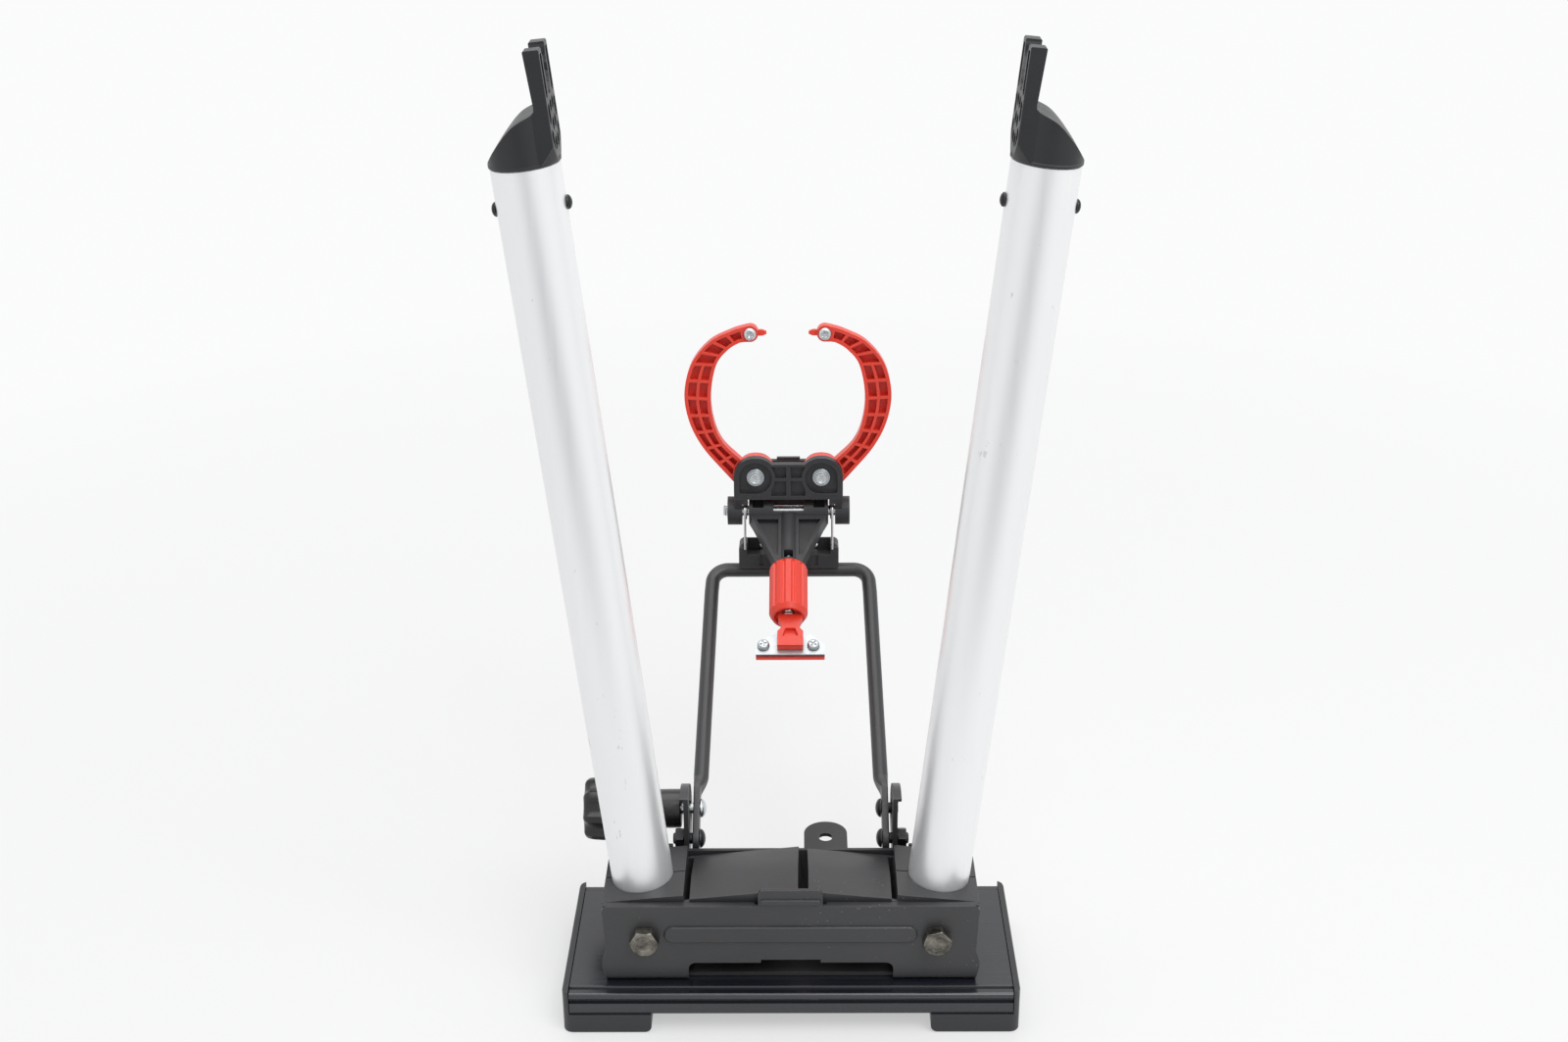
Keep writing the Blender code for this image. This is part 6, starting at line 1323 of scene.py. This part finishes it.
claw = Values(half=4.0, hub=11.1, proud=0.15, teeth=24, depthOut=0.95, depthIn=1.2, backlash=0.35, gearFront=-3.5,
              gearThick=4.3, tipU=-20.5, tipV=102.2, tipRadius=4.5, wall=1.9, rib=1.5, skin=2.0, doubles=7,
              doublePitch=9.8, singles=4, singlePitch=7.0, firstCell=1.4, bore=2.8, nibReach=11.5, nibHeight=3.3,
              nibThick=2.6, nibHole=1.6, soft=0.22, nibSoft=0.25, outer=[(-24.5, 11.5), (-36.5, 24.8), (-47.6, 38.4),
              (-54.6, 52.8), (-57.0, 69.0), (-52.9, 85.4), (-42.9, 97.6), (-30.8, 103.8), (-24.4, 105.9)],
              inner=[(-15.5, 21.0), (-27.3, 31.6), (-36.6, 41.3), (-41.3, 53.4), (-42.5, 68.0), (-39.3, 84.6),
              (-33.0, 93.0), (-27.0, 96.9), (-23.6, 97.7)])


def gearOutline(phase, first, last, v):
    # Involute teeth of a sector about the origin, at phase plus whole pitches
    pitch = headForm.bossHalf
    module = 2 * pitch / v.teeth
    foot = pitch * math.cos(math.radians(20))
    tip = pitch + v.depthOut * module
    root = pitch - v.depthIn * module
    step = 360 / v.teeth

    def involute(radius):
        roll = math.sqrt(max(radius / foot, 1.0) ** 2 - 1)
        return math.degrees(roll - math.atan(roll))

    half = step / 4 - math.degrees(v.backlash / 2 / pitch) + involute(pitch)
    outline = []
    for k in range(first, last + 1):
        middle = phase + k * step
        radii = [root] + [foot + (tip - foot) * i / 5 for i in range(6)]
        rising = [(r, middle - half + involute(r)) for r in radii]
        falling = [(r, middle + half - involute(r)) for r in reversed(radii)]
        for r, a in rising + falling:
            outline.append((r * math.cos(math.radians(a)), r * math.sin(math.radians(a))))
    return outline


def clawStations(v):
    # The place on the edges' curves for each distance from the claw's tip
    steps = 160
    spots = [(splinePoint(v.outer, i / steps) + splinePoint(v.inner, i / steps)) / 2
             for i in range(steps, -1, -1)]
    table = [(0.0, 1.0)]
    for i in range(1, steps + 1):
        table.append((table[-1][0] + (spots[i] - spots[i - 1]).length, 1.0 - i / steps))

    def at(distance):
        for (d0, t0), (d1, t1) in zip(table, table[1:]):
            if distance <= d1:
                return t0 + (t1 - t0) * (distance - d0) / (d1 - d0)
        return 0.0

    return at


def clawCell(low, high, near, far, v):
    # One pocket between two stations along the claw; its sides follow the edges' curves
    sides = ([], [])
    for i in range(4):
        t = low + (high - low) * i / 3
        outer, inner = splinePoint(v.outer, t), splinePoint(v.inner, t)
        width = (outer - inner).length
        wall = v.wall / width
        a = wall + (1 - 2 * wall) * near + (v.rib / 2 / width if near > 0 else 0)
        b = wall + (1 - 2 * wall) * far - (v.rib / 2 / width if far < 1 else 0)
        sides[0].append(tuple(inner.lerp(outer, a)))
        sides[1].append(tuple(inner.lerp(outer, b)))
    return sides[0] + list(reversed(sides[1]))


def addClaw(name, side, v):
    way = -side
    boss, rise, half = headForm.bossHalf, headForm.bossRise, v.half
    place = headPlace @ shift(side * boss, 0, rise)

    def local(points):
        return [(way * (a + boss), b - rise) for a, b in points]

    outline = [tuple(splinePoint(v.outer, i / 64)) for i in range(65)]
    outline += arcPoints(v.tipU, v.tipV, v.tipRadius, 95, -95, 20)
    outline += [tuple(splinePoint(v.inner, i / 56)) for i in range(56, -1, -1)]
    blade = half - v.proud
    body = prism(local(outline), -blade, blade, "XZ")
    phase = (-90 if side < 0 else 90) / v.teeth
    first, last = (-2, 1) if side < 0 else (-2, 0)
    sector = [(a * way, b) for a, b in gearOutline(phase, first, last, v)]
    sector += [(0, 6), (-3 * way, 0), (0, -6)]
    body.add(bar(v.hub, -half, half, "Y", sides=96),
             prism(sector, v.gearFront, v.gearFront + v.gearThick, "XZ"))
    station = clawStations(v)
    ring = bar(v.hub + 1.6, -half - 3, half, "Y", sides=96)
    along = v.firstCell
    for i in range(v.singles + v.doubles):
        single = i < v.singles
        pitch = v.singlePitch if single else v.doublePitch
        high, low = station(along), station(along + pitch - v.rib)
        along += pitch
        for near, far in ((0, 1),) if single else ((0, 0.5), (0.5, 1)):
            cell = prism(local(clawCell(low, high, near, far, v)), -half - 1, blade - v.skin, "XZ")
            body.cut(cell.cut(ring))
    tipX, tipZ = local([(v.tipU, v.tipV)])[0]
    seat = v.nibHeight / 2 + gap
    thick = v.nibThick / 2
    body.cut(block((tipX - way * v.tipRadius * 0.8, tipX + way * 10), (-thick - gap, thick + gap),
                   (tipZ - seat, tipZ + seat)),
             bar(v.nibHole, -10, 10, "Y", (tipX, 0, tipZ)), bar(v.bore, -10, 10, "Y"))
    formPiece("claw_" + name, body, place, v.soft)
    reach = local([(-v.nibReach, v.tipV)])[0][0]
    inner = tipX - way * (v.tipRadius * 0.8 - gap)
    neck = reach - way * 2.2
    tall = v.nibHeight / 2
    shape = [(inner, tipZ - tall), (neck, tipZ - tall), (reach, tipZ - 0.7), (reach, tipZ + 0.7),
             (neck, tipZ + tall), (inner, tipZ + tall)]
    nib = prism(shape, -thick, thick, "XZ").cut(bar(v.nibHole, -10, 10, "Y", (tipX, 0, tipZ)))
    formPiece("nib_" + name, nib, place, v.nibSoft)


for name, side in leftRight:
    addClaw(name, side, claw)
print("claws made")

# Lever: a barrel round the pin and a webbed tongue that carries the adjusting screw

leverForm = Values(barrel=7.9, half=22.2, webStart=12.0, webHalf=19.5, tip=41.8, tipHalf=7.3, depth=9.0, web=2.2,
                   rim=1.4, tube=6.1, tubeStart=5.0, faceDepth=2.8, slot=6.4, slotStart=13.9, shell=1.6,
                   centreWindow=8.5, screwWindow=34.5, windowLength=5.3, windowHalf=2.5, screwBore=3.3, soft=0.3,
                   dentLean=79)


def addLever(v):
    barrel, half, tube = v.barrel, v.depth / 2, v.tube
    body = bar(barrel, -v.half, v.half, "X", sides=72)
    slope = (v.webHalf - v.tipHalf) / (v.tip - v.webStart)

    def edge(z):
        return v.webHalf - slope * (z - v.webStart)

    right = [(v.half - 0.4, 0), (v.half - 0.4, v.webStart * 0.6, 2), (v.webHalf, v.webStart, 5),
             (v.tipHalf, v.tip, 1.2)]
    plate = prism(rounded(right + mirrored(right)), -half, half, "XZ")
    low, high = v.webStart - 1.4, v.tip - 4.8
    floor = half - v.faceDepth
    for _, side in leftRight:
        shape = flip([(tube - 0.5, low), (edge(low) - v.rim * 1.5, low), (edge(high) - v.rim, high),
                      (tube - 0.5, high)], side)
        plate.cut(prism(shape, floor, half + 1, "XZ"), prism(shape, floor - v.web, -half - 1, "XZ"))
    body.add(plate, bar(tube, v.tubeStart, v.tip, "Z", sides=64))
    for _, side in leftRight:
        dent = block(span(side, v.slotStart, v.slotStart + v.slot), (-2.8, 2.8), (4.3, barrel + 3))
        dent.mesh.transform(turn(-v.dentLean, "X"))
        body.cut(dent)
    outer = barrel + 3
    window = [(0.0, 0.0)] + arcPoints(0, 0, outer, 160, 40, 20)
    body.cut(prism([(b, a) for a, b in window], -v.centreWindow, v.centreWindow, "YZ"))
    inner = barrel - v.shell
    notch = arcPoints(0, 0, inner, -8, 130, 28) + arcPoints(0, 0, outer + 4, 130, 300, 20)
    notch += [(10.6, -11.2), (10.6, -7.2), (8.9, -4.6)]
    notch = [(b, a) for a, b in notch]
    body.cut(*[prism(notch, side * (knuckle.inner - gap), side * (knuckle.outer + gap), "YZ")
               for _, side in leftRight])
    body.cut(bar(knuckle.bore, -40, 40, "X"),
             bar(v.screwBore, v.screwWindow, v.tip + 1, "Z"),
             block((-v.windowHalf, v.windowHalf), (0, tube + 2),
                   (v.screwWindow, v.screwWindow + v.windowLength)))
    formPiece("lever", body, leverPlace, v.soft)


addLever(leverForm)
print("lever made")

# The other nodes are kept as copies with softened edges

edgeWidths = {"gauge_plate": 0.2, "hinge_lug": 0.4}
for node in sorted(set(nodes) - made):
    width = max([value for start, value in edgeWidths.items() if node.startswith(start)], default=softEdges.width)
    newPiece(node, softEdged(nodes[node].data, width, softEdges))
print("softened copies made")


# Studio: pale floor, soft light from above and the front

# frontShade is the colour of the painted shadow on the floor in front, which only reflections show
studio = Values(floorSize=12.0, floorColour=(0.90, 0.905, 0.91), floorPatches=0.985, floorBelow=0.0002,
                floorSeen=(0.965, 0.968, 0.97), floorGlow=0.5, glowStart=0.3, glowEnd=1.1,
                frontShade=(0.34, 0.36, 0.39), frontReach=(-0.45, -0.95), frontHalf=(0.85, 0.25), keyPower=26.0,
                keyPlace=(0.8, -1.1, 2.1), keySize=1.5, topPower=19.0, topPlace=(-0.1, 0.5, 2.1), topSize=1.8,
                lampTarget=(0, 0, 0.2), worldStrength=0.4)


def addFloor(v):
    bm = bmesh.new()
    bmesh.ops.create_grid(bm, x_segments=1, y_segments=1, size=v.floorSize / 2)
    f = Finish("floor", Roughness=0.75, Specular_IOR_Level=0.2)
    tone = tuple(v.floorPatches * c for c in v.floorColour)
    # The tubes mirror a painted shadow on the floor in front, out of the picture: only glossy rays see this painted
    # shade
    x, y, _ = f.node("ShaderNodeSeparateXYZ", {0: f.place}).outputs
    glossy = f.node("ShaderNodeLightPath").outputs["Is Glossy Ray"]
    shade = f.both(f.spread(y, *v.frontReach), f.spread(f.calc("ABSOLUTE", x), *v.frontHalf), glossy)
    f.feed("Base Color", f.blend(shade, f.blend(f.noise(3, 3, 0.5), v.floorColour, tone), v.frontShade))
    # Near the stand the camera sees the floor half lit and half in its own pale colour, which keeps the shadow;
    # farther out it sees only that colour, so that no horizon shows. Glossy rays see that colour darkened by the same
    # painted shadow
    away = f.calc("SQRT", f.calc("ADD", f.both(x, x), f.both(y, y)))
    glow = f.node("ShaderNodeEmission", {"Color": f.blend(shade, v.floorSeen, v.frontShade)}).outputs[0]
    share = f.both(f.seen(), f.spread(away, v.glowStart, v.glowEnd, v.floorGlow, 1))
    mix = f.node("ShaderNodeMixShader", {0: share, 1: f.shader.outputs[0], 2: glow})
    f.tree.links.new(mix.outputs[0], f.tree.nodes["Material Output"].inputs["Surface"])
    floor = linked("floor", meshOf(bm))
    floor.data.materials.append(f.material)
    floor.location.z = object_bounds()[0][2] - v.floorBelow
    floor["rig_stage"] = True


def addLamp(name, place, size, power, target):
    data = bpy.data.lights.new(name, "AREA")
    data.shape = "SQUARE"
    data.size = size
    data.energy = power
    lamp = linked(name, data)
    lamp.location = place
    lamp.rotation_euler = (Vector(target) - Vector(place)).to_track_quat("-Z", "Y").to_euler()


def addWorld(v):
    # It lights everything evenly, and is seen in the floor's pale colour
    world = bpy.data.worlds.new("studio")
    world.use_nodes = True
    w = Nodes(world.node_tree)
    light = w.tree.nodes["Background"]
    light.inputs["Color"].default_value = (1, 1, 1, 1)
    light.inputs["Strength"].default_value = v.worldStrength
    backdrop = w.node("ShaderNodeBackground", {"Color": (*v.floorSeen, 1), "Strength": 1}).outputs[0]
    mix = w.node("ShaderNodeMixShader", {0: w.seen(), 1: light.outputs[0], 2: backdrop})
    w.tree.links.new(mix.outputs[0], w.tree.nodes["World Output"].inputs["Surface"])
    bpy.context.scene.world = world


addFloor(studio)
addLamp("key", studio.keyPlace, studio.keySize, studio.keyPower, studio.lampTarget)
addLamp("top", studio.topPlace, studio.topSize, studio.topPower, studio.lampTarget)
addWorld(studio)
print("studio made")
